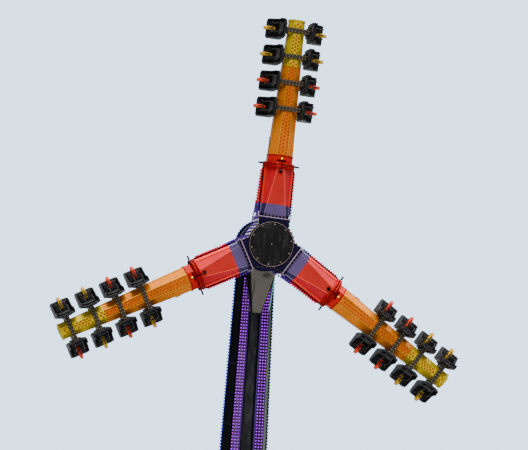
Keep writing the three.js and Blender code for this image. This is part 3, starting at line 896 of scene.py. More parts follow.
make_piece("channel_sheets", "tower", channel_sheets, [channel_black, dark_steel])
print("channel covered")

# %% [markdown]
# Tall blue bulbs run up the rails on the tower's rear edges, in two rows side by side. From the
# front they show as a toothed blue line beyond the black side. A black lip on each front edge is
# bent round the corner. On the right it carries dark blue bulbs that point to the side.

# %% Blue bulbs along the edges
RAIL_FACE = 0.0305


def rear_bulbs(name, side):
    low, high = PANEL_LOW + 0.05, HUB.z + 0.25

    def on_rail(z, inset, beyond=0.0):
        return Vector((side * (half_x(z) + RAIL_FACE), rear_y(z) - inset, z + beyond))

    def make(builder):
        for inset in (0.045, 0.115):
            for point, _ in walk([on_rail(low, inset), on_rail(high, inset)], BULB_PITCH, 0.0):
                add_bulb(builder, point, X * side, 0.039, tall=2.0)
        for inset in (0.018, 0.162):
            ends = on_rail(low, inset, -0.04), on_rail(high, inset, 0.04)
            add_strip(builder, *ends, X * side, 0.012, 0.016, 2)

    make_piece(name, "tower", make, [blue_bulb, socket_and_shadow_black, head_blue])


def front_lip(name, side):
    low, high = PANEL_LOW, HUB.z - 0.80

    def edge(z, out, depth):
        return Vector((side * (half_x(z) + out), front_y(z) - depth, z))

    def make(builder):
        add_strip(builder, edge(low, 0.0, 0.03), edge(high, 0.0, 0.03), X * side, 0.10, 0.022, 2)
        add_strip(builder, edge(low, 0.008, 0.078), edge(high, 0.008, 0.078), -Y, 0.026, 0.012, 2)
        if side > 0:
            row = [edge(low + 0.07, 0.022, 0.04), edge(high - 0.02, 0.022, 0.04)]
            for point, _ in walk(row, BULB_PITCH, 0.0):
                add_bulb(builder, point, X * side, 0.036, tall=1.5)

    make_piece(name, "tower", make, [deep_blue_bulb, socket_and_shadow_black, edge_black])


rear_bulbs("left_rear_bulbs", -1)
rear_bulbs("right_rear_bulbs", 1)
front_lip("left_edge_lip", -1)
front_lip("right_edge_bulbs", 1)
print("edges lit")

# %% [markdown]
# A pale cyan strip stands out on the right beside the apron: a painted reflection, made as a long
# glowing band on a thin frame, held by three short arms. It leans forward as the apron does.

# %% Cyan strip of painted reflection
painted_cyan_reflection = bulb_plastic("cyan_reflection_paint", (0.22, 0.62, 0.60), 0.25)
REFLECTION_LOW, REFLECTION_HIGH = Vector((0.432, -0.600, 7.36)), Vector((0.480, -0.990, 8.56))


def build_reflection_strip(builder):
    add_strip(builder, REFLECTION_LOW, REFLECTION_HIGH, -Y, 0.038, 0.012, material=1)
    # The glowing band is a painted reflection, not a lamp.
    diffuser = [REFLECTION_LOW.lerp(REFLECTION_HIGH, share) for share in (0.01, 0.99)]
    add_strip(builder, *diffuser, -Y, 0.026, 0.012, lift=0.012)
    for share in (0.06, 0.5, 0.94):
        x, y, z = REFLECTION_LOW.lerp(REFLECTION_HIGH, share)
        add_bar(builder, (x, y, z), (x, front_y(z) - 0.01, z), 0.012, sides=6, material=1)


make_piece("cyan_reflection_strip", "tower", build_reflection_strip, [painted_cyan_reflection, edge_black])
print("lamp strip held by three arms")

# %% [markdown]
# The apron is a bare sheet with a thin black frame round it, lengthened at the bottom by a skirt
# of the same sheet. A dull tan bead edges it on the right and along the top. Small dark screws
# hold the frame.

# %% Apron frame
SKIRT = 0.085
tan_bead = gloss_paint("tan_bead", (0.26, 0.21, 0.12), dirt=0.6)


def apron_edge(side, z, inset=0.010, lift=0.0):
    return Vector((side * (apron_half(z) - inset), apron_front_y(z) - lift, z))


def apron_frame(builder):
    low, high = APRON_BOTTOM - SKIRT, APRON_TOP - 0.03
    tilt = Vector((0.0, -1.0, (apron_front_y(high) - apron_front_y(low)) / (high - low))).normalized()
    skirt = [Vector((0, apron_front_y(z), z)) for z in (low, APRON_BOTTOM)]
    add_strip(builder, *skirt, tilt, apron_half(APRON_BOTTOM) * 2 - 0.02, 0.020, material=2, lift=-0.020)
    for side in SIDES:
        add_strip(builder, apron_edge(side, low), apron_edge(side, high), tilt, 0.026, 0.012)
        for z in spread(low + 0.08, high - 0.08, 7):
            add_bolt(builder, apron_edge(side, z, lift=0.012), tilt, 0.009, 0.010)
    add_strip(builder, apron_edge(-1, low), apron_edge(1, low), tilt, 0.030, 0.014)
    add_strip(builder, apron_edge(1, low, 0.038), apron_edge(1, high, 0.038), tilt, 0.018, 0.010, material=3)
    add_strip(builder, apron_edge(-1, high), apron_edge(1, high), tilt, 0.026, 0.010, material=3)


make_piece("apron_frame", "tower", apron_frame, [edge_black, dark_steel, apron_grey, tan_bead])
print("apron framed")

# %% [markdown]
# The round head behind the hub has bands round it. The rear band carries the blue bulbs that show
# as an arc on the left of the hub. In front of it run two black hoops with a grey band between
# them, and dark sheet closes the head up to the hub. The lower part of the head meets the tower,
# so bulbs only sit where the rim is free.

# %% Bands on the head
grey_band = gloss_paint("grey_band_paint", (0.30, 0.26, 0.27), dirt=0.4)
STAND_UP = Matrix.Rotation(math.radians(90), 4, "X")
HEAD_INNER = 0.85
HEAD_BANDS = [                          # front and rear along Y, outer radius, material
    (-0.60, -0.475, 0.884, 2), (-0.68, -0.635, 0.896, 3), (-0.76, -0.684, 0.878, 4),
    (-0.83, -0.764, 0.896, 3), (-1.30, -0.84, 0.868, 2), (-1.40, -1.33, 0.885, 2)]
HEAD_BULBS = 54


def head_trim(builder):
    for front, rear, outer, material in HEAD_BANDS:
        edge = min(0.008, (outer - HEAD_INNER) * 0.4)
        profile = [(HEAD_INNER, -rear), (outer - edge, -rear), (outer, -rear + edge), (outer, -front - edge),
                   (outer - edge, -front), (HEAD_INNER, -front), (HEAD_INNER, -rear)]
        add_spun(builder, profile, Matrix.Translation(HEAD_CENTRE) @ STAND_UP, 96, material)
    for index in range(HEAD_BULBS):
        angle = math.tau * index / HEAD_BULBS
        outward = Vector((math.cos(angle), 0.0, math.sin(angle)))
        if not 200 < math.degrees(angle) < 340:
            add_bulb(builder, HEAD_CENTRE + outward * 0.884 - Y * 0.54, outward, 0.040, tall=1.6)


make_piece("head_trim", "tower", head_trim,
           [blue_bulb, socket_and_shadow_black, head_blue, edge_black, grey_band])
print("head banded")

# %% [markdown]
# Weld seams and flanged joints cross the column's sides and back, and the column has a rounded
# cap. A ladder climbs the back, as someone has to change all those bulbs.

# %% Seams, cap and ladder
LADDER_HALF, LADDER_GAP = 0.19, 0.14


def column_seams(builder):
    for z in (3.35, 5.45, 7.55):
        x, front, rear = half_x(z), front_y(z), rear_y(z)
        for side in SIDES:
            ends = (side * x, front + 0.03, z), (side * x, rear - 0.17, z)
            add_strip(builder, *ends, X * side, 0.09, 0.014)
            for y in spread(front + 0.12, rear - 0.30, 6):
                for height in (-0.025, 0.025):
                    add_bolt(builder, (side * (x + 0.014), y, z + height), X * side, 0.011, 0.010)
        add_strip(builder, (0.01 - x, rear, z), (x - 0.01, rear, z), Y, 0.09, 0.014)
    top = HUB.z + 0.34
    half = half_x(top) + 0.02
    add_box(builder, (-half, front_y(top) - 0.02, top), (half, rear_y(top) + 0.02, top + 0.03), bevel=0.012)


def ladder(builder):
    low, high = 1.45, HUB.z + 0.20

    def rail(side, z):
        return Vector((side * LADDER_HALF, rear_y(z) + LADDER_GAP, z))

    for side in SIDES:
        add_bar(builder, rail(side, low), rail(side, high), 0.019, sides=8)
    for index, z in enumerate(at_pitch(low + 0.15, high - 0.05, 0.28)):
        add_bar(builder, rail(-1, z), rail(1, z), 0.013, sides=6)
        if index % 6 == 0:
            for side in SIDES:
                add_bar(builder, rail(side, z) - Y * (LADDER_GAP + 0.01), rail(side, z), 0.015, sides=6)


make_piece("column_seams", "tower", column_seams, [tower_black, dark_steel])
make_piece("ladder", "tower", ladder, [bare_steel])
print("seams and ladder on")

# %% [markdown]
# The foot lies below the edge of the photograph, so it is finished as plain working steel: bolts
# on the foot plate, round collars and locking nuts on the jacks, ribs on the pads, and lids on
# the sides of the centre frame.

# %% Bolts and jack details at the foot
FOOT_PLATE_TOP = 0.7005
JACKS = [(x, y) for y in (-3.7, 3.0) for x in (-3.3, 3.3)]
JACK_PROFILES = [                       # the pad's collar, the sleeve's collar, the locking nut
    ([(0.10, 0.060), (0.175, 0.060), (0.180, 0.085), (0.13, 0.14), (0.112, 0.14)], 24),
    ([(0.10, 0.562), (0.165, 0.562), (0.170, 0.572), (0.170, 0.602), (0.160, 0.612), (0.10, 0.612)], 24),
    ([(0.0, 0.69), (0.045, 0.69), (0.060, 0.675), (0.060, 0.639), (0.0, 0.639)], 16)]


def foot_bolts(builder):
    front, rear = front_y(0.7) - 0.14, rear_y(0.7) + 0.14
    across = [(x, y) for x in (-0.84, -0.56, -0.20, 0.20, 0.56, 0.84) for y in (front, rear)]
    for x, y in across + [(x, y) for x in (-0.83, 0.83) for y in (-0.50, 0.16, 0.82)]:
        add_bolt(builder, (x, y, FOOT_PLATE_TOP), Z, 0.034, 0.045, material=0)


def jack_details(builder):
    for x, y in JACKS:
        for profile, steps in JACK_PROFILES:
            add_spun(builder, profile, Matrix.Translation((x, y, 0.0)), steps)
        for outward in around(6):
            start = Vector((x, y, 0.060)) + outward * 0.11
            add_strip(builder, start, start + outward * 0.18, Z, 0.018, 0.035, material=1)


def frame_lids(builder):
    for side in SIDES:
        face, grip = side * 1.05, side * 1.085
        add_box(builder, (face, -0.45, 0.12), (face + side * 0.016, 0.55, 0.50), bevel=0.006)
        add_bar(builder, (grip, -0.05, 0.31), (grip, 0.15, 0.31), 0.010, sides=8, material=1)
        for y in (-0.05, 0.15):
            add_bar(builder, (face + side * 0.010, y, 0.31), (grip, y, 0.31), 0.009, sides=6, material=1)
    for y, outward in ((-1.35, -Y), (1.45, Y)):
        face = y + outward.y * 0.014
        for x in (-0.62, 0.0, 0.62):
            add_box(builder, (x - 0.26, y, 0.10), (x + 0.26, face, 0.52), bevel=0.006)
            for corner_x in (x - 0.22, x + 0.22):
                for corner_z in (0.14, 0.48):
                    add_bolt(builder, (corner_x, face, corner_z), outward, 0.012, 0.010)


make_piece("foot_bolts", "tower", foot_bolts, [bare_steel])
make_piece("jack_details", "tower", jack_details, [bare_steel, base_grey])
make_piece("frame_lids", "tower", frame_lids, [base_grey, bare_steel])
print("foot finished")

# %% [markdown]
# The hub is a thick round plate with a stub for each arm. Between two arms its wall runs in from
# one stub, round the plate and out to the next stub. The outline is drawn flat in the plane of X
# and Y, and a quarter turn stands it up so that its face looks at the viewer.

# %% Hub plate
HUB_FLAT, HUB_HALF, HUB_DEPTH, HUB_ROUND = 0.895, 0.535, 0.47, 0.81
THIRDS = [Matrix.Rotation(index * math.tau / 3, 4, "Y") for index in range(4)]
WALL_STEPS = 9


def hub_wall(index):
    """The wall from one arm's stub to the next, as a list of corners."""
    first = math.asin(HUB_HALF / HUB_ROUND)
    angles = spread(first, math.tau / 3 - first, WALL_STEPS)
    round_part = [Vector((math.sin(angle), 0, math.cos(angle))) * HUB_ROUND for angle in angles]
    corners = [THIRDS[index] @ corner for corner in [Vector((HUB_HALF, 0, HUB_FLAT))] + round_part]
    return corners + [THIRDS[index + 1] @ Vector((-HUB_HALF, 0, HUB_FLAT))]


def hub_outline(scale):
    return [(corner.x * scale, corner.z * scale) for index in range(3) for corner in hub_wall(index)]


def hub_plate(builder):
    add_extruded(builder, hub_outline(1.0), HUB_DEPTH * 2, STAND_UP, bevel=0.014)
    face = Matrix.Translation(-Y * (HUB_DEPTH + 0.003)) @ STAND_UP
    add_extruded(builder, hub_outline(0.955), 0.022, face, bevel=0.006)
    for turn in THIRDS[:3]:
        for x in spread(-0.44, 0.44, 6):
            add_bolt(builder, turn @ Vector((x, -HUB_DEPTH - 0.014, 0.815)), -Y, 0.014, 0.012)


make_piece("hub_plate", "rotor", hub_plate, [hub_indigo, dark_steel], HUB_FRAME, ["hub_body"])
print("hub plate with", len(hub_outline(1.0)), "corners")

# %% [markdown]
# White sheet lines the hub's wall between the arms. The third wall, the lower one at rest, gets
# dark indigo sheet and dimmer tubes instead: painted shade, as that wall lies in shadow. Violet
# lamp tubes lie across all three from front to rear, and a small brass bolt stands in front of
# each. Seen from the left, the wall shows as white and violet bars.

# %% Lamp tubes on the hub's wall
brass = smeared_sheet(
    "dull_brass", (0.62, 0.44, 0.16), (0.26, 0.18, 0.08), 0.4, metal=0.8, rough=(0.30, 0.5))
white_sheet = gloss_paint("white_lamp_sheet", (0.86, 0.84, 0.92), dirt=0.10, specular=0.3)
tube_violet = bulb_plastic("violet_lamp_tube", (0.075, 0.0, 0.30), 0.15, coat=0.0)
shade_dimmed_tube = bulb_plastic("shade_dimmed_lamp_tube", (0.020, 0.004, 0.075), 0.1, coat=0.0)
TUBES, TUBE_PITCH = 8, 0.145
TUBE_DEPTH = 0.395
SHADED_WALL = 1


def fore_and_aft(middle, half):
    """The two ends of a line that runs from front to rear."""
    return middle - Y * half, middle + Y * half


def hub_side_lamps(builder):
    for index in range(3):
        # The lower wall gets painted shade: indigo sheet and dim tubes.
        tube, sheet = (5, 4) if index == SHADED_WALL else (0, 1)
        corners = hub_wall(index)
        length = 0.0
        for start, end in zip(corners, corners[1:]):
            side = end - start
            length += side.length
            ends = fore_and_aft(start + side / 2, 0.435)
            add_strip(builder, *ends, side.cross(Y), side.length * 0.99, 0.006, sheet)
        for spot, along in walk(corners, TUBE_PITCH, (length - TUBE_PITCH * (TUBES - 1)) / 2):
            outward = along.cross(Y)
            add_bar(builder, *fore_and_aft(spot + outward * 0.014, TUBE_DEPTH), 0.034, material=tube)
            for depth in (-TUBE_DEPTH, 0.0, TUBE_DEPTH):
                clip = spot + outward * 0.002 + Y * depth
                add_strip(builder, *fore_and_aft(clip, 0.018), outward, 0.080, 0.034, material=3)
            add_bolt(builder, spot - Y * (HUB_DEPTH - 0.018), outward, 0.012, 0.018, material=2)


make_piece("hub_side_lamps", "rotor", hub_side_lamps,
           [tube_violet, white_sheet, brass, edge_black, hub_indigo, shade_dimmed_tube], HUB_FRAME)
print(TUBES, "lamp tubes on each wall of the hub")

# %% [markdown]
# The round cover is a shallow dish, spun from its profile. Ten dull tan screws hold it near its
# rim, and a cap closes the middle. Round it lies a dark ring with a thin pale bead.

# %% Cover and ring
COVER_PLACE = Matrix.Translation((0, -HUB_DEPTH - 0.0003, 0)) @ STAND_UP
COVER_SCREWS = 10
COVER_FIRST_SCREW = math.radians(15.8)
DISH = [(0.0, 0.0), (0.729, 0.0), (0.729, 0.030), (0.724, 0.042), (0.705, 0.050), (0.65, 0.054),
        (0.635, 0.048), (0.62, 0.054), (0.30, 0.060), (0.0, 0.062)]
CAP = [(0.0, 0.060), (0.052, 0.060), (0.050, 0.072), (0.030, 0.078), (0.0, 0.080)]
DARK_RING = [(0.731, 0.0), (0.784, 0.0), (0.784, 0.040), (0.778, 0.048), (0.738, 0.052), (0.731, 0.046),
             (0.731, 0.0)]
PALE_BEAD = [(0.752, 0.048), (0.764, 0.046), (0.763, 0.060), (0.760, 0.064), (0.756, 0.064), (0.753, 0.060),
             (0.752, 0.048)]


def cover_dish(builder):
    add_spun(builder, DISH, COVER_PLACE, 96)
    add_spun(builder, CAP, COVER_PLACE, 24)
    for outward in around(COVER_SCREWS, COVER_FIRST_SCREW):
        add_bolt(builder, COVER_PLACE @ (outward * 0.690 + Z * 0.050), -Y, 0.013, 0.014)
    add_bolt(builder, COVER_PLACE @ (Z * 0.078), -Y, 0.011, 0.010)


def cover_ring(builder):
    add_spun(builder, DARK_RING, COVER_PLACE, 96)
    add_spun(builder, PALE_BEAD, COVER_PLACE, 96, 1)


make_piece("cover_dish", "rotor", cover_dish, [cover_black, screw_tan], HUB_FRAME,
           ["hub_cover"])
make_piece("cover_bead_ring", "rotor", cover_ring, [edge_black, ring_beige], HUB_FRAME,
           ["cover_ring"])
print("cover held by", COVER_SCREWS, "screws")

# %% [markdown]
# An arm root starts as a box with cut corners and ends nearly as a square on its tip, so its
# front face narrows to a slender wedge. The same four half sizes describe it here: half width
# and depth of the front face, half width and depth of the side face. Each is given at the hub
# and at the flange.

# %% The root's taper
ROOT_LOW, ROOT_HIGH = 0.9203, 2.6247
ROOT_HALVES = ((0.400, 0.125), (0.420, 0.485), (0.515, 0.505), (0.305, 0.125))


def root_halves(z):
    share = (z - ROOT_LOW) / (ROOT_HIGH - ROOT_LOW)
    return [low + (high - low) * share for low, high in ROOT_HALVES]


def root_edge(side, face, z, slide=0.0):
    """A point on the edge between side face and cut corner. Slide moves it over the cut corner."""
    _, _, half, side_depth = root_halves(z)
    return Vector((side * (half - slide * 0.7071), face * (side_depth + slide * 0.7071), z))


print("root is", [round(value, 3) for value in root_halves(ROOT_LOW)], "at the hub")

# %% [markdown]
# Front faces, cut corners and side faces of the roots get three different reds, and the same
# holds for the purple band at the hub: one paint, with painted shade on the cut corners and
# painted light on the side faces. The paint works out the distance along the arm and across it
# from the Object coordinates, compares them with the root's taper, and picks the painted shade.

# %% Root paint with painted light and shade
# One red and one purple, each in three lights: front faces as they are, cut corners darker as painted shade,
# side faces lighter as painted light.
SHADED_CORNER_RED = (0.50, 0.003, 0.012)
LIT_SIDE_RED = (0.88, 0.085, 0.022)
ORANGE_RED = (0.80, 0.008, 0.001)
SHADED_CORNER_PURPLE = (0.020, 0.013, 0.060)
LIT_SIDE_PURPLE = (0.050, 0.016, 0.230)
ROOT_PAINTED_SHADING = (PURPLE, RED), (SHADED_CORNER_PURPLE, SHADED_CORNER_RED), (LIT_SIDE_PURPLE, LIT_SIDE_RED)
SHADE_MARGIN = 0.003


def root_paint(place):
    finish = Finish("root_paint_" + place, specular=0.10, metal=0.42, coat=0.12)
    across, depth, along = (arm_distance(finish, place, axis) for axis in range(3))
    share = finish.math("DIVIDE", finish.math("SUBTRACT", along, ROOT_LOW), ROOT_HIGH - ROOT_LOW)

    def edge(low, high):
        return finish.math("MULTIPLY_ADD", share, high - low, low + SHADE_MARGIN)

    off_front = finish.math("GREATER_THAN", finish.math("ABSOLUTE", across), edge(*ROOT_HALVES[0]))
    on_side = finish.math("LESS_THAN", finish.math("ABSOLUTE", depth), edge(*ROOT_HALVES[3]))
    # front, cut and side are the same paint, with painted shade on the cut corners and painted light on the
    # sides.
    front, cut, side = [
        bands_along(finish, along, (0.0, near), (ROOT_COLOUR_CHANGE, far)) for near, far in ROOT_PAINTED_SHADING]
    return dress_paint(finish, finish.mix(on_side, finish.mix(off_front, front, cut), side), 0.5)


for place in ARM_FRAMES:
    dress(root_paint(place), "arm_root_" + place)
edge_red = gloss_paint("bright_edge_red", ORANGE_RED, dirt=0.2, coat=0.35, metal=0.5)
print("three root paints")

# %% [markdown]
# Each root is bolted to the hub. A thin lilac plate shows as a pale line, and on it sits a dark
# collar. The collar's outline crosses itself, so it has walls at the root's cut corners and
# inside the root, and its broad sides stay open. Dark bolts stand on the plate in a row, and
# small brown screws run along the collar.

# %% Root plates and collars
lilac_plate = gloss_paint("lilac_plate_paint", (0.32, 0.22, 0.33), dirt=0.5, specular=0.3)
collar_navy = gloss_paint("root_collar_navy", (0.018, 0.011, 0.045), dirt=0.3)
screw_brown = gloss_paint("collar_screw_brown", (0.20, 0.12, 0.045), dirt=0.3)
PLATE_LOW, PLATE_HIGH = 0.897, 0.926
COLLAR_LOW, COLLAR_HIGH = 0.928, 1.030
COLLAR_OUTLINE = [
    (0.409, 0.434), (0.527, 0.316), (-0.527, 0.316), (-0.409, 0.434),
    (-0.409, -0.434), (-0.527, -0.316), (0.527, -0.316), (0.409, -0.434)]


def root_plate(builder):
    for side in SIDES:
        add_box(builder, (-0.556, side * 0.422, PLATE_LOW), (0.556, side * 0.496, PLATE_HIGH), bevel=0.006)
        add_box(builder, (side * 0.518, -0.46, PLATE_LOW), (side * 0.556, 0.46, PLATE_HIGH), bevel=0.006)
        for y in spread(-0.36, 0.36, 6):
            add_bolt(builder, (side * 0.543, y, PLATE_HIGH), Z, 0.012, 0.030)
        for x in spread(-0.44, 0.44, 8):
            add_bolt(builder, (x, side * 0.463, PLATE_HIGH), Z, 0.031, 0.070)
            if x < 0.4:
                add_bolt(builder, (x + 0.063, side * 0.434, 0.992), Y * side, 0.009, 0.010, material=3)
    middle = Matrix.Translation((0, 0, (COLLAR_LOW + COLLAR_HIGH) / 2))
    add_extruded(builder, COLLAR_OUTLINE, COLLAR_HIGH - COLLAR_LOW, middle, 2, bevel=0.008)


make_on_arms("root_plate", root_plate, [lilac_plate, edge_black, collar_navy, screw_brown])
print("plates and collars bolted to the hub")

# %% [markdown]
# All four long edges of a root carry bulbs, purple beside the purple band and red beyond it. The
# bulbs sit on rails that stand off the side walls: black rails in front, red ones at the rear.
# On the cut corner beside each rail lies a wide bright strip, with a dark line along it beyond
# the purple band, and a thin light line borders the front face.

# %% Rails, strips and bulbs along the roots
RAIL_WIDTH, RAIL_PROUD = 0.050, 0.060
SIDE_PITCH = 0.0955
ROOT_TRIM_LOW, ROOT_TRIM_HIGH = 1.034, 2.600
DARK_LINE_SLIDE = 0.120
border_red = gloss_paint("border_light_red", (0.74, 0.085, 0.050), dirt=0.2)
border_purple = gloss_paint("border_light_purple", (0.16, 0.115, 0.22), dirt=0.2)
edge_violet = gloss_paint("edge_violet_paint", (0.13, 0.10, 0.24), dirt=0.2, coat=0.6, metal=0.6)
ROOT_TRIM = [                           # from, to, strip material, strip width, border material
    (ROOT_TRIM_LOW, ROOT_COLOUR_CHANGE, 6, 0.060, 4), (ROOT_COLOUR_CHANGE, ROOT_TRIM_HIGH, 3, 0.104, 7)]


def rail_point(side, face, z, out=0.0):
    return root_edge(side, face, z) + Vector((side * out, -face * (RAIL_WIDTH / 2 + 0.002), 0.0))


def face_border(side, face, z):
    half, depth, _, _ = root_halves(z)
    return Vector((side * (half - 0.010), face * depth, z))


def edge_bulb(material):
    def make(shape):
        add_disc(shape, (0, 0, 0), Z, 0.030, 0.008, sides=8, material=1)
        add_dome(shape, 0.006, 0.033, 1.35, material)

    return make


EDGE_BULBS = {"purple_edge_bulb": edge_bulb(5), "red_edge_bulb": edge_bulb(0)}


def root_edge_trim(builder, side, face):
    """Rail, bright strip, dark line, border line and bulbs along one of the four edges."""
    corner = Vector((side, face, 0)).normalized()
    for low, high, strip, width, border in ROOT_TRIM:
        rails = [rail_point(side, face, z) for z in (low, high)]
        strips = [root_edge(side, face, z, width / 2 + 0.006) for z in (low, high)]
        borders = [face_border(side, face, z) for z in (low, high)]
        add_strip(builder, *rails, X * side, RAIL_WIDTH, RAIL_PROUD, 2 if face < 0 else strip, lift=-0.002)
        add_strip(builder, *strips, corner, width, 0.012, strip)
        add_strip(builder, *borders, Y * face, 0.018, 0.008, border, lift=-0.002)
    dark_line = [root_edge(side, face, z, DARK_LINE_SLIDE) for z in (ROOT_COLOUR_CHANGE, ROOT_TRIM_HIGH)]
    add_strip(builder, *dark_line, corner, 0.014, 0.008, 8)
    for z in at_pitch(ROOT_TRIM_LOW + 0.03, ROOT_TRIM_HIGH - 0.01, SIDE_PITCH):
        name = "purple_edge_bulb" if z < ROOT_COLOUR_CHANGE else "red_edge_bulb"
        place = facing(rail_point(side, face, z, RAIL_PROUD - 0.002), X * side)
        stamp(builder, name, EDGE_BULBS[name], place)


def root_strips(builder):
    for side in SIDES:
        for face in SIDES:
            root_edge_trim(builder, side, face)


ROOT_STRIP_MATERIALS = [
    red_bulb, socket_and_shadow_black, edge_black, edge_red, border_purple, purple_bulb, edge_violet, border_red,
    flange_red]
strips = make_on_arms("root_strips", root_strips, ROOT_STRIP_MATERIALS)
print("edges of the roots,", count_faces(strips), "faces")

# %% [markdown]
# Where a root meets the hub its sides flare. A bent purple bar leads the bulbs of the rear edge
# out to the hub's rear rim, and a slim lilac bar does the same at the front. Both follow a few
# points and are laid as short strips end to end.

# %% Flared bars at the hub
FLARE_PITCH = 0.104
REAR_FLARE = [(0.556, 0.275, 1.440), (0.560, 0.320, 1.220), (0.578, 0.400, 0.990), (0.580, 0.440, 0.800),
              (0.560, 0.450, 0.600)]
FRONT_FLARE = [(0.516, -0.020, 1.420), (0.522, -0.130, 1.220), (0.532, -0.300, 1.050),
               (0.556, -0.470, 0.930)]


def bent_bar(builder, points, side, width, height, material):
    points = [Vector((side * x, y, z)) for x, y, z in points]
    for start, end in zip(points, points[1:]):
        reach = (end - start) * 0.03
        add_strip(builder, start - reach, end + reach, X * side, width, height, material)
    return points


def root_flares(builder):
    for side in SIDES:
        bent_bar(builder, FRONT_FLARE, side, 0.022, 0.030, 2)
        points = bent_bar(builder, REAR_FLARE, side, 0.070, 0.012, 3)
        for point in points[2:4]:
            add_bar(builder, (side * 0.530, point.y, point.z), point, 0.016, sides=8, material=3)
        for point, _ in walk(points, FLARE_PITCH, 0.05):
            add_bulb(builder, point + X * side * 0.012, X * side, 0.034)


make_on_arms("root_flares", root_flares, [purple_bulb, socket_and_shadow_black, lilac_plate, edge_violet])
print("sides flared to the hub")

# %% [markdown]
# Root and outer arm meet in a pair of round flanges. The black band in the gap between them is
# the seal and painted shadow in the gap. Each disc is spun with a rounded rim and ringed with
# bolts, and the upper one has a locking pin that stands out on each side.

# %% Double flanges
FLANGE_BOTTOM, FLANGE_PLATE, FLANGE_GROOVE, FLANGE_RADIUS = 2.625, 0.078, 0.016, 0.560
FLANGE_TOP = FLANGE_BOTTOM + 2 * FLANGE_PLATE + FLANGE_GROOVE
flange_bright = gloss_paint("flange_bright_red", (0.44, 0.004, 0.001), dirt=0.5, metal=0.25)


def band(inner, outer, low, high):
    """A square profile to spin."""
    return [(inner, low), (outer, low), (outer, high), (inner, high)]


def double_flange(builder):
    def spin(profile, material=0):
        add_spun(builder, profile, Matrix.Identity(4), 64, material)

    rim, edge = FLANGE_RADIUS, 0.012
    for low in (FLANGE_BOTTOM, FLANGE_TOP - FLANGE_PLATE):
        high, middle = low + FLANGE_PLATE, low + FLANGE_PLATE / 2
        rounding = (rim - edge, low), (rim, low + edge), (rim, high - edge), (rim - edge, high)
        spin([(0.0, low), *rounding, (0.0, high)])
        spin(band(rim - 0.004, rim + 0.003, middle - 0.010, middle + 0.010), 1)
    # The black band in the gap is the seal and painted shadow in the gap.
    gap = FLANGE_BOTTOM + FLANGE_PLATE
    spin(band(0.0, 0.552, gap - 0.004, gap + FLANGE_GROOVE + 0.004), 1)
    spin(band(0.470, 0.546, FLANGE_TOP - 0.004, FLANGE_TOP + 0.012), 1)
    pin = Z * (FLANGE_TOP - FLANGE_PLATE / 2)
    for side in SIDES:
        for start, end, radius in ((0.50, 0.715, 0.030), (0.596, 0.620, 0.039), (0.692, 0.716, 0.039)):
            add_bar(builder, pin + X * side * start, pin + X * side * end, radius, sides=12, material=1)
    for outward in around(24, first=math.pi / 24):
        add_bolt(builder, outward * 0.530 + Z * FLANGE_BOTTOM, -Z, 0.016, 0.016, material=0)
        add_bolt(builder, outward * 0.530 + Z * FLANGE_TOP, Z, 0.018, 0.022)
    for degrees in (-52, -22, 16, 164, 202):
        outward = Vector((math.sin(math.radians(degrees)), -math.cos(math.radians(degrees)), 0.0))
        middle = outward * FLANGE_RADIUS + Z * (FLANGE_BOTTOM + FLANGE_PLATE / 2)
        add_disc(builder, middle, outward, 0.024, 0.006, sides=12, material=1)


make_on_arms("double_flange", double_flange, [flange_bright, edge_black],
             replaced=["ring_flange_%s"])
print("flanges ringed with bolts")

# %% [markdown]
# A spot lamp stands on the front face of each root, just before the flange. It has a bracket, a
# spun can with cooling rings and a small lens, and it is tipped towards the seats. It is built
# round its foot, scaled down and moved to its place. Its black conduit runs on over the flange
# to the beacon, and a dark gland sits in the sheet beside it.

# %% Spot lamps
lamp_lens = bulb_plastic("dull_lamp_lens", (0.10, 0.12, 0.11), 0.05)
LAMP_FOOT = Vector((0.0, -0.476, 2.50))
LAMP_SCALE = 0.74
CAN = [(0.0, -0.075), (0.030, -0.075), (0.036, -0.060), (0.036, -0.045), (0.046, -0.045), (0.046, -0.035),
       (0.038, -0.035), (0.038, -0.022), (0.048, -0.022), (0.048, -0.012), (0.042, -0.012), (0.058, 0.035),
       (0.064, 0.060), (0.064, 0.074), (0.056, 0.074), (0.056, 0.062), (0.0, 0.062)]
LENS = [(0.0, 0.060), (0.055, 0.060), (0.050, 0.070), (0.025, 0.077), (0.0, 0.079)]
CONDUIT = [(0.0, -0.500, 2.50), (0.0, -0.545, 2.585), (0.0, -0.580, 2.640), (0.0, -0.580, 2.790),
           (0.0, -0.470, 2.860)]


def spot_lamp(builder):
    add_box(builder, (-0.075, -0.012, -0.05), (0.075, 0.004, 0.05), bevel=0.004)
    for side in SIDES:
        add_strip(builder, X * side * 0.072, (side * 0.072, -0.11, 0), X * side, 0.034, 0.007)
        add_bolt(builder, (side * 0.079, -0.085, 0), X * side, 0.012, 0.010, material=2)
    aim = facing((0, -0.095, 0), (0.05, -0.30, 1.0))
    add_spun(builder, CAN, aim, 24)
    add_spun(builder, LENS, aim, 24, 1)
    place = Matrix.Translation(LAMP_FOOT) @ Matrix.Scale(LAMP_SCALE, 4)
    bmesh.ops.transform(builder, matrix=place, verts=builder.verts)
    add_tube(builder, CONDUIT, 0.014)
    add_disc(builder, LAMP_FOOT - X * 0.115, -Y, 0.022, 0.010)


make_on_arms("spot_lamp", spot_lamp, [edge_black, lamp_lens, dark_steel])
print("three spot lamps")

# %% [markdown]
# From here on the shapes belong to the outer arms, which spin about their own length. A beam has
# eight sides and narrows evenly, so its half width at any distance is one line of arithmetic.
# Its trim lies in the free stretches between the seat clamps, cut where the colour changes.

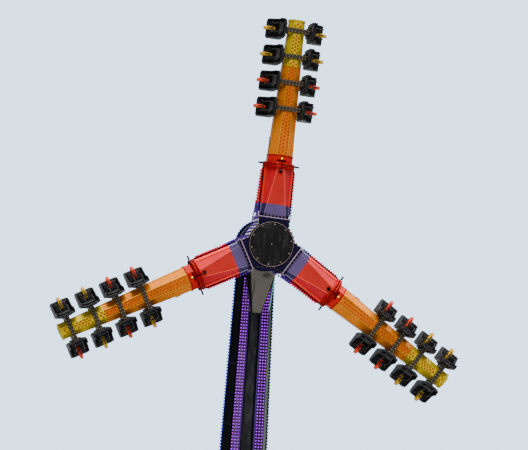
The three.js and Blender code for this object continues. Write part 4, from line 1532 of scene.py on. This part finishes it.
# %% The beam's taper
BEAM_LOW, BEAM_HIGH = 3.0805, 7.74
BEAM_HALVES = 0.415, 0.262
CORNER = math.tan(math.pi / 8)
CLAMP_ROOM = 0.098
STRETCHES = list(zip([BEAM_LOW + 0.03] + [row + CLAMP_ROOM for row in ROWS],
                     [row - CLAMP_ROOM for row in ROWS] + [BEAM_HIGH - 0.025]))
ZONES = (BEAM_LOW, BEAM_COLOUR_CHANGE), (BEAM_COLOUR_CHANGE, BEAM_HIGH)
COLOURED = [                            # from, to, 0 for orange or 1 for yellow
    (max(low, first), min(high, last), shade) for low, high in STRETCHES
    for shade, (first, last) in enumerate(ZONES) if max(low, first) < min(high, last)]


def beam_half(z):
    return BEAM_HALVES[0] + (BEAM_HALVES[1] - BEAM_HALVES[0]) * (z - BEAM_LOW) / (BEAM_HIGH - BEAM_LOW)


def outward_of(side):
    """The direction that one of the eight faces looks in. Side 0 is the front."""
    turn = side * math.tau / 8
    return Vector((math.sin(turn), -math.cos(turn), 0.0))


def on_octagon(side, half, z, across=0.0, lift=0.0):
    """A point on one of eight faces. Across runs from -1 at one edge to 1 at the other."""
    outward = outward_of(side)
    return outward * (half + lift) + Z.cross(outward) * (half * CORNER * across) + Z * z


def beam_point(side, z, across=0.0, lift=0.0):
    return on_octagon(side, beam_half(z), z, across, lift)


print("free stretches", [tuple(round(value, 2) for value in pair) for pair in STRETCHES])

# %% [markdown]
# The collar behind the flange has two dark slots, a yellow beacon between them on its front
# face, and a lip with a row of small dark bolts where the beam begins.

# %% Collar details
COLLAR_HALF = 0.430
BEACON_FOOT = [(0.0, 0.0), (0.042, 0.0), (0.042, 0.010), (0.036, 0.014), (0.0, 0.014)]
BEACON = [(0.0, 0.012), (0.031, 0.012), (0.031, 0.026), (0.025, 0.040), (0.013, 0.047), (0.0, 0.049)]


def collar_details(builder):
    def spot(side, across, z, lift=0.0):
        return on_octagon(side, COLLAR_HALF, z, across, lift)

    for side in range(8):
        lip = spot(side, -0.99, 3.060), spot(side, 0.99, 3.060)
        add_strip(builder, *lip, outward_of(side), 0.030, 0.012)
        for across in spread(-0.75, 0.75, 4):
            add_bolt(builder, spot(side, across, 3.060, 0.012), outward_of(side), 0.014, 0.014)
    for side in (0, 4):
        for low, high in ((-0.86, -0.06), (0.06, 0.86)):
            slot = spot(side, low, 2.884), spot(side, high, 2.884)
            add_strip(builder, *slot, outward_of(side), 0.046, 0.008, 1)
        for across in (-0.82, -0.12, 0.12, 0.82):
            add_bolt(builder, spot(side, across, 2.930), outward_of(side), 0.008, 0.010)
    beacon = facing(spot(0, 0.0, 2.955), -Y)
    add_spun(builder, BEACON_FOOT, beacon, 20, 1)
    add_spun(builder, BEACON, beacon, 20, 2)


make_on_arms("collar_details", collar_details, [flange_bright, edge_black, beacon_yellow],
             outer=True)
print("collars finished")

# %% [markdown]
# Bright beads run along the eight edges of a beam, orange first and yellow further out, with a
# brown line on the plain faces beside them. The front and rear faces carry a raised sheet with
# three staggered columns of brown-red bulbs. Sheets and beads stop short of the seat clamps.

# %% Beads, sheets and bulbs on the beams
BEAM_PITCH = 0.123
COLUMN_ACROSS = 0.74
LINE_ACROSS = 0.86
bead_orange = gloss_paint("bright_edge_orange", (0.86, 0.34, 0.003), dirt=0.15, metal=0.3)
bead_yellow = gloss_paint("bright_edge_yellow", (0.82, 0.63, 0.003), dirt=0.15, metal=0.3)
sheet_orange = gloss_paint("raised_sheet_orange", (0.58, 0.122, 0.0004), dirt=0.6, specular=0.05, metal=0.15)
sheet_yellow = gloss_paint("raised_sheet_yellow", (0.56, 0.395, 0.0008), dirt=0.6, specular=0.06, metal=0.1)
line_brown = gloss_paint("beam_line_brown", (0.22, 0.070, 0.002), dirt=0.2)
# Dark brown rings under the beam's bulbs: sockets with a painted shadow.
socket_and_shadow_brown = gloss_paint("socket_and_shadow_brown", (0.22, 0.030, 0.001), dirt=0.2)


def beam_line(builder, side, low, high, across, up, width, height, material, lift=-0.003):
    """A strip along one face of the beam, sunk in a little."""
    ends = [beam_point(side, z, across) for z in (low, high)]
    add_strip(builder, *ends, up, width, height, material, lift)


def beam_beads(builder):
    for low, high, shade in COLOURED:
        for side in range(8):
            corner = (outward_of(side) + outward_of(side + 1)).normalized()
            beam_line(builder, side, low, high, 1.0, corner, 0.020, 0.010, shade)
            if side % 4:
                for across in (-LINE_ACROSS, LINE_ACROSS):
                    beam_line(builder, side, low, high, across, outward_of(side), 0.010, 0.006, 2)


def beam_sheets(builder):
    for side in (0, 4):
        for low, high, shade in COLOURED:
            near, far, width = low + 0.01, high - 0.01, beam_half(high) * CORNER * 2 * LINE_ACROSS
            beam_line(builder, side, near, far, 0.0, outward_of(side), width, 0.014, 2 + shade, lift=-0.004)
        for low, high in STRETCHES:
            for column in (-1, 0, 1):
                first = low + 0.07 + (0.0 if column else BEAM_PITCH / 2)
                for z in at_pitch(first, high - 0.05, BEAM_PITCH):
                    point = beam_point(side, z, column * COLUMN_ACROSS, 0.010)
                    add_bulb(builder, point, outward_of(side), 0.027)


make_on_arms("beam_beads", beam_beads, [bead_orange, bead_yellow, line_brown], outer=True)
make_on_arms("beam_sheets", beam_sheets,
             [amber_bulb, socket_and_shadow_brown, sheet_orange, sheet_yellow], outer=True)
print("beams dressed")

# %% [markdown]
# A grey junction box hangs on the side of each beam near the collar, with a lid, a gland and a
# short conduit. The beam's end is closed by a bolted cap.

# %% Junction boxes and end caps
box_grey = gloss_paint("junction_box_grey", (0.16, 0.17, 0.18), dirt=0.6)
CAP_PLATE = [(0.0, 0.0), (0.205, 0.0), (0.205, 0.008), (0.198, 0.014), (0.0, 0.016)]
CAP_BOSS = [(0.0, 0.012), (0.06, 0.012), (0.06, 0.020), (0.045, 0.024), (0.0, 0.024)]


def junction_box(builder):
    face = beam_point(6, 3.62).x
    lid, pipe = face - 0.050, face - 0.020
    add_box(builder, (face - 0.040, -0.08, 3.50), (face + 0.004, 0.04, 3.68), bevel=0.006)
    add_box(builder, (lid, -0.074, 3.506), (face - 0.036, 0.034, 3.674), bevel=0.004)
    for y in (-0.060, 0.020):
        for z in (3.522, 3.658):
            add_bolt(builder, (lid, y, z), -X, 0.007, 0.006)
    add_bar(builder, (pipe, -0.02, 3.50), (pipe, -0.02, 3.45), 0.015, sides=12, material=1)
    conduit = [(pipe, 3.47), (pipe, 3.36), (pipe + 0.005, 3.26), (pipe + 0.005, 3.13)]
    add_tube(builder, [(x, -0.02, z) for x, z in conduit], 0.010, material=2)


def end_cap(builder):
    cap = Matrix.Translation((0, 0, 7.7795))
    add_spun(builder, CAP_PLATE, cap, 40)
    add_spun(builder, CAP_BOSS, cap, 24, 1)
    for outward in around(12):
        add_bolt(builder, outward * 0.172 + Z * 7.795, Z, 0.013, 0.012)


make_on_arms("junction_box", junction_box, [box_grey, bare_steel, edge_black], outer=True)
make_on_arms("end_cap", end_cap, [sheet_yellow, dark_steel], outer=True)
print("boxes and caps on")

# %% [markdown]
# Each seat row hangs on a clamp: a bar across the front of the beam and one across the rear,
# tied together at the sides and drawn tight with dull tan bolts. Four clamps and their seat
# brackets make one piece on each arm.

# %% Seat clamps
clamp_brown = gloss_paint("seat_clamp_brown", (0.034, 0.024, 0.014), dirt=0.5, specular=0.2)
CLAMP_HALF = 0.085
CLAMP_REACH = 0.455


def seat_clamps(builder):
    for row in ROWS:
        inner = beam_half(row - CLAMP_HALF) + 0.003
        proud = inner + 0.049
        for side in SIDES:
            add_box(builder, (-CLAMP_REACH, side * inner, row - 0.082),
                    (CLAMP_REACH, side * proud, row + 0.082), bevel=0.010)
            for x in (-0.40, -0.29, -0.18, -0.06, 0.06, 0.18, 0.29, 0.40):
                for offset in (-0.045, 0.045):
                    add_bolt(builder, (x, side * proud, row + offset), Y * side, 0.009, 0.010)
            add_box(builder, (side * (inner + 0.012), 0.01 - inner, row - 0.070),
                    (side * CLAMP_REACH, inner - 0.01, row + 0.070), bevel=0.008)
            for y in (-0.20, 0.0, 0.20):
                add_box(builder, (side * 0.40, y - 0.035, row - 0.19),
                        (side * 0.475, y + 0.035, row + 0.19), bevel=0.008)


make_on_arms("seat_clamps", seat_clamps, [clamp_brown, screw_tan], outer=True)
print("four clamps on each arm")

# %% [markdown]
# A seat is built once in its own frame: X across it, Y out from the back to the knees, Z up. The
# shell is a moulded back and pan between two winged sides. Their outlines are cut with soft
# corners, extruded and rounded over. Between the legs stands the coloured saddle.

# %% One seat shell
SIDE_PLANE = Matrix.Rotation(math.radians(90), 4, "Y") @ Matrix.Rotation(math.radians(90), 4, "Z")
BACK_AND_PAN = [
    (0.445, 0.600), (0.475, 0.632), (0.520, 0.620), (0.528, 0.300), (0.545, -0.080), (0.640, -0.215),
    (0.960, -0.185), (1.005, -0.215), (1.000, -0.320), (0.600, -0.338), (0.470, -0.330), (0.445, -0.200)]
WING = [(0.462, 0.560), (0.500, 0.592), (0.620, 0.592), (0.660, 0.540), (0.650, 0.400), (0.690, 0.200),
        (0.860, 0.060), (0.965, -0.020), (0.990, -0.140), (0.975, -0.330), (0.480, -0.335), (0.458, -0.100)]
SADDLE = [(0.640, -0.270), (0.700, -0.050), (0.860, 0.048), (1.040, 0.052), (1.118, -0.030), (1.125, -0.150),
          (1.060, -0.270)]
BACK_TUBE = [(-0.20, 0.462, 0.610), (-0.20, 0.450, 0.655), (0.20, 0.450, 0.655), (0.20, 0.462, 0.610)]


def rounded(outline, radius=0.04, steps=3):
    """Cuts each corner of an outline with a short curve."""
    result = []
    for before, corner, after in zip(outline[-1:] + outline, outline, outline[1:] + outline[:1]):
        corner = Vector(corner)
        back, ahead = Vector(before) - corner, Vector(after) - corner
        cut = min(radius, back.length * 0.45, ahead.length * 0.45)
        first, last = corner + back.normalized() * cut, corner + ahead.normalized() * cut
        for share in spread(0.0, 1.0, steps + 1):
            result.append(first.lerp(corner, share).lerp(corner.lerp(last, share), share))
    return [(point.x, point.y) for point in result]


def side_shape(builder, outline, thickness, x, material, bevel, radius=0.04):
    """An outline given in Y and Z, extruded along X round the middle x."""
    place = Matrix.Translation((x, 0, 0)) @ SIDE_PLANE
    add_extruded(builder, rounded(outline, radius), thickness, place, material, bevel)


def make_shell(shape):
    side_shape(shape, BACK_AND_PAN, 0.575, 0.0, 0, 0.014)
    for side in SIDES:
        side_shape(shape, WING, 0.042, side * 0.3125, 0, 0.012)
        for z in (0.34, 0.02):
            add_disc(shape, (side * 0.3335, 0.500, z), X * side, 0.016, 0.008, sides=8, material=1)
        add_box(shape, (side * 0.327, 0.70, -0.290), (side * 0.339, 0.93, -0.262), material=2, bevel=0.004)
    for x in (-0.17, 0.0, 0.17):
        add_box(shape, (x - 0.020, 0.418, -0.24), (x + 0.020, 0.450, 0.52), bevel=0.008)
    add_tube(shape, BACK_TUBE, 0.013, material=1)


def saddle(material):
    def make(shape):
        side_shape(shape, SADDLE, 0.104, 0.0, material, 0.022, radius=0.05)
        add_box(shape, (-0.018, 0.930, 0.046), (0.018, 0.985, 0.058), material=1, bevel=0.004)
        add_bar(shape, (-0.058, 1.055, -0.120), (0.058, 1.055, -0.120), 0.016, material=1)

    return make


print("seat outlines drawn")

# %% [markdown]
# The shoulder bar is a bent tube on each side of the rider's neck. Both tubes are hinged in
# the seat's back, run over the shoulders and meet in a cross tube above the saddle. Rubber grips
# stand out from them, and a short belt ties the cross tube to the saddle.

# %% Shoulder bars
SHOULDER_PATH = [
    (0.130, 0.505, 0.560), (0.130, 0.560, 0.640), (0.135, 0.640, 0.650), (0.145, 0.730, 0.560),
    (0.155, 0.785, 0.400), (0.155, 0.805, 0.240), (0.140, 0.815, 0.120), (0.090, 0.820, 0.075),
    (0.0, 0.822, 0.070)]
HANDLE_PATH = [(0.155, 0.800, 0.270), (0.165, 0.850, 0.290), (0.170, 0.905, 0.300)]
GRIP_PATH = [(0.167, 0.868, 0.293), (0.172, 0.925, 0.303)]
SHOULDER_TUBES = (SHOULDER_PATH, 0.017, 1), (HANDLE_PATH, 0.012, 1), (GRIP_PATH, 0.019, 2)


def make_shoulder_bar(shape):
    for side in SIDES:
        for path, radius, material in SHOULDER_TUBES:
            add_tube(shape, [(side * x, y, z) for x, y, z in path], radius, material=material)
        add_disc(shape, (side * 0.130, 0.522, 0.560), -Y, 0.034, 0.020, sides=12, material=1)
    add_box(shape, (-0.022, 0.824, 0.052), (0.022, 0.835, 0.062), material=1)
    add_strip(shape, (0.0, 0.829, 0.064), (0.0, 0.955, 0.056), Z, 0.038, 0.004, material=2)


print("shoulder bars drawn")

# %% [markdown]
# A seat matrix turns the seat's own frame into the arm's. Two seats sit back to back in each
# row and look outwards. Saddles are orange on the two inner rows and yellow on the outer ones;
# on the left arm one saddle at each end of the lower side has changed places.

# %% Seats on the arms
SEAT_PARTS = {"shell": make_shell, "shoulder_bar": make_shoulder_bar, "orange_saddle": saddle(3),
              "yellow_saddle": saddle(4)}
SEAT_MATERIALS = [shell_black, dark_steel, grip_rubber, saddle_orange, saddle_yellow]


def seat_place(row, side):
    turn = Matrix(((0, side, 0), (0, 0, -1), (-side, 0, 0))).to_4x4()
    return Matrix.Translation((0, 0, row)) @ turn


def seat_shells(place):
    def make(builder):
        for index, row in enumerate(ROWS):
            for side in SIDES:
                swapped = place == "left" and side < 0 and index in (0, 3)
                colour = "orange" if (index < 2) != swapped else "yellow"
                for part in ("shell", "shoulder_bar", colour + "_saddle"):
                    stamp(builder, part, SEAT_PARTS[part], seat_place(row, side))

    rows = ["seat_row_%s_%d" % (place, index) for index in range(1, 5)]
    make_piece("seats_" + place, place + "_arm", make, SEAT_MATERIALS, ARM_FRAMES[place], rows)


for place in ARM_FRAMES:
    seat_shells(place)
print("twenty-four seats")

# %% [markdown]
# The pads are real cushions. Each starts as a thin box of the right outline, slightly too small,
# is remeshed evenly and blown up as cloth without gravity. Corners on a sewing line are pinned,
# so the cloth puffs up between the lines. How far a corner may move is capped, the result is
# frozen, and one subdivision smooths it. Each pad is made once and stamped on all seats.

# %% Cushions
PAD_FRAMES = 20
PAD_PRESSURE = 4.0


def slab(low, high, bevel):
    """A box with soft edges as a new object, ready for the cloth."""
    builder = bmesh.new()
    add_box(builder, low, high, bevel=bevel)
    mesh = bpy.data.meshes.new("pad_start")
    builder.to_mesh(mesh)
    builder.free()
    start = bpy.data.objects.new("pad_start", mesh)
    bpy.context.collection.objects.link(start)
    return start


def apply_modifiers(thing):
    graph = bpy.context.evaluated_depsgraph_get()
    result = bpy.data.meshes.new_from_object(thing.evaluated_get(graph), depsgraph=graph)
    thing.modifiers.clear()
    thing.data = result


def inflate(thing, on_seam):
    """Blows a slab up as cloth that is pinned along its sewing lines."""
    seams = thing.vertex_groups.new(name="seams")
    seams.add([vertex.index for vertex in thing.data.vertices if on_seam(vertex.co)], 1.0, "REPLACE")
    cloth = thing.modifiers.new("cloth", "CLOTH")
    cloth.settings.use_pressure = True
    cloth.settings.uniform_pressure_force = PAD_PRESSURE
    cloth.settings.effector_weights.gravity = 0.0
    cloth.settings.vertex_group_mass = "seams"
    cloth.point_cache.frame_start = 1
    cloth.point_cache.frame_end = PAD_FRAMES
    for step in range(1, PAD_FRAMES + 1):
        bpy.context.scene.frame_set(step)
    apply_modifiers(thing)
    bpy.context.scene.frame_set(1)


def pad_shape(low, high, on_seam, cap, bevel=0.020, voxel=0.024):
    """One pad as a list of corners and a list of faces."""
    thing = slab(low, high, bevel)
    remesh = thing.modifiers.new("even", "REMESH")
    remesh.mode = "VOXEL"
    remesh.voxel_size = voxel
    apply_modifiers(thing)
    before = [vertex.co.copy() for vertex in thing.data.vertices]
    inflate(thing, on_seam)
    for vertex, old in zip(thing.data.vertices, before):
        move = vertex.co - old
        if move.length > cap:
            vertex.co = old + move * (cap / move.length)
    smooth = thing.modifiers.new("smooth", "SUBSURF")
    smooth.levels = smooth.render_levels = 1
    apply_modifiers(thing)
    corners = [vertex.co.copy() for vertex in thing.data.vertices]
    faces = [tuple(polygon.vertices) for polygon in thing.data.polygons]
    bpy.data.objects.remove(thing)
    return corners, faces


def back_seam(point):
    return abs(abs(point.x) - 0.095) < 0.013 or (abs(point.z - 0.18) < 0.013 and abs(point.x) < 0.10)


def pan_seam(point):
    return abs(abs(point.x) - 0.105) < 0.013 or abs(point.y - 0.70) < 0.013


def head_seam(point):
    return abs(abs(point.x) - 0.070) < 0.011


PAD_SHAPES = [
    pad_shape((-0.235, 0.530, -0.060), (0.235, 0.585, 0.395), back_seam, cap=0.020),
    pad_shape((-0.235, 0.600, -0.205), (0.235, 0.925, -0.150), pan_seam, cap=0.018),
    pad_shape((-0.150, 0.526, 0.425), (0.150, 0.590, 0.590), head_seam, cap=0.018, bevel=0.022, voxel=0.020),
]
print("pads with", [len(faces) for _, faces in PAD_SHAPES], "faces")

# %% [markdown]
# Piping runs round the edge of each pad where its front and back are sewn together. It is a thin
# tube along the pad's outline.

# %% Piping and pads on the seats
PIPING_RADIUS = 0.0055


def make_pads(shape):
    for corners, faces in PAD_SHAPES:
        verts = [shape.verts.new(corner) for corner in corners]
        for face in faces:
            shape.faces.new([verts[index] for index in face]).smooth = True


def pad_outline(half, low, high):
    return rounded([(-half, low), (half, low), (half, high), (-half, high)])


def make_piping(shape):
    loops = [[(x, 0.548, z) for x, z in pad_outline(0.243, -0.066, 0.400)],
             [(x, y, -0.186) for x, y in pad_outline(0.243, 0.598, 0.932)],
             [(x, 0.546, z) for x, z in pad_outline(0.157, 0.420, 0.596)]]
    for loop in loops:
        add_tube(shape, loop + loop[:1], PIPING_RADIUS, sides=6)


def on_all_seats(name, make):
    def make_all(builder):
        for row in ROWS:
            for side in SIDES:
                stamp(builder, name, make, seat_place(row, side))

    return make_all


pads = make_on_arms("seat_pads", on_all_seats("pads", make_pads), [pad_vinyl], outer=True)
make_on_arms("pad_piping", on_all_seats("piping", make_piping), [edge_black], outer=True)
print("pads with", count_faces(pads), "faces in all")

for mesh, _ in STAMPS.values():
    bpy.data.meshes.remove(mesh)
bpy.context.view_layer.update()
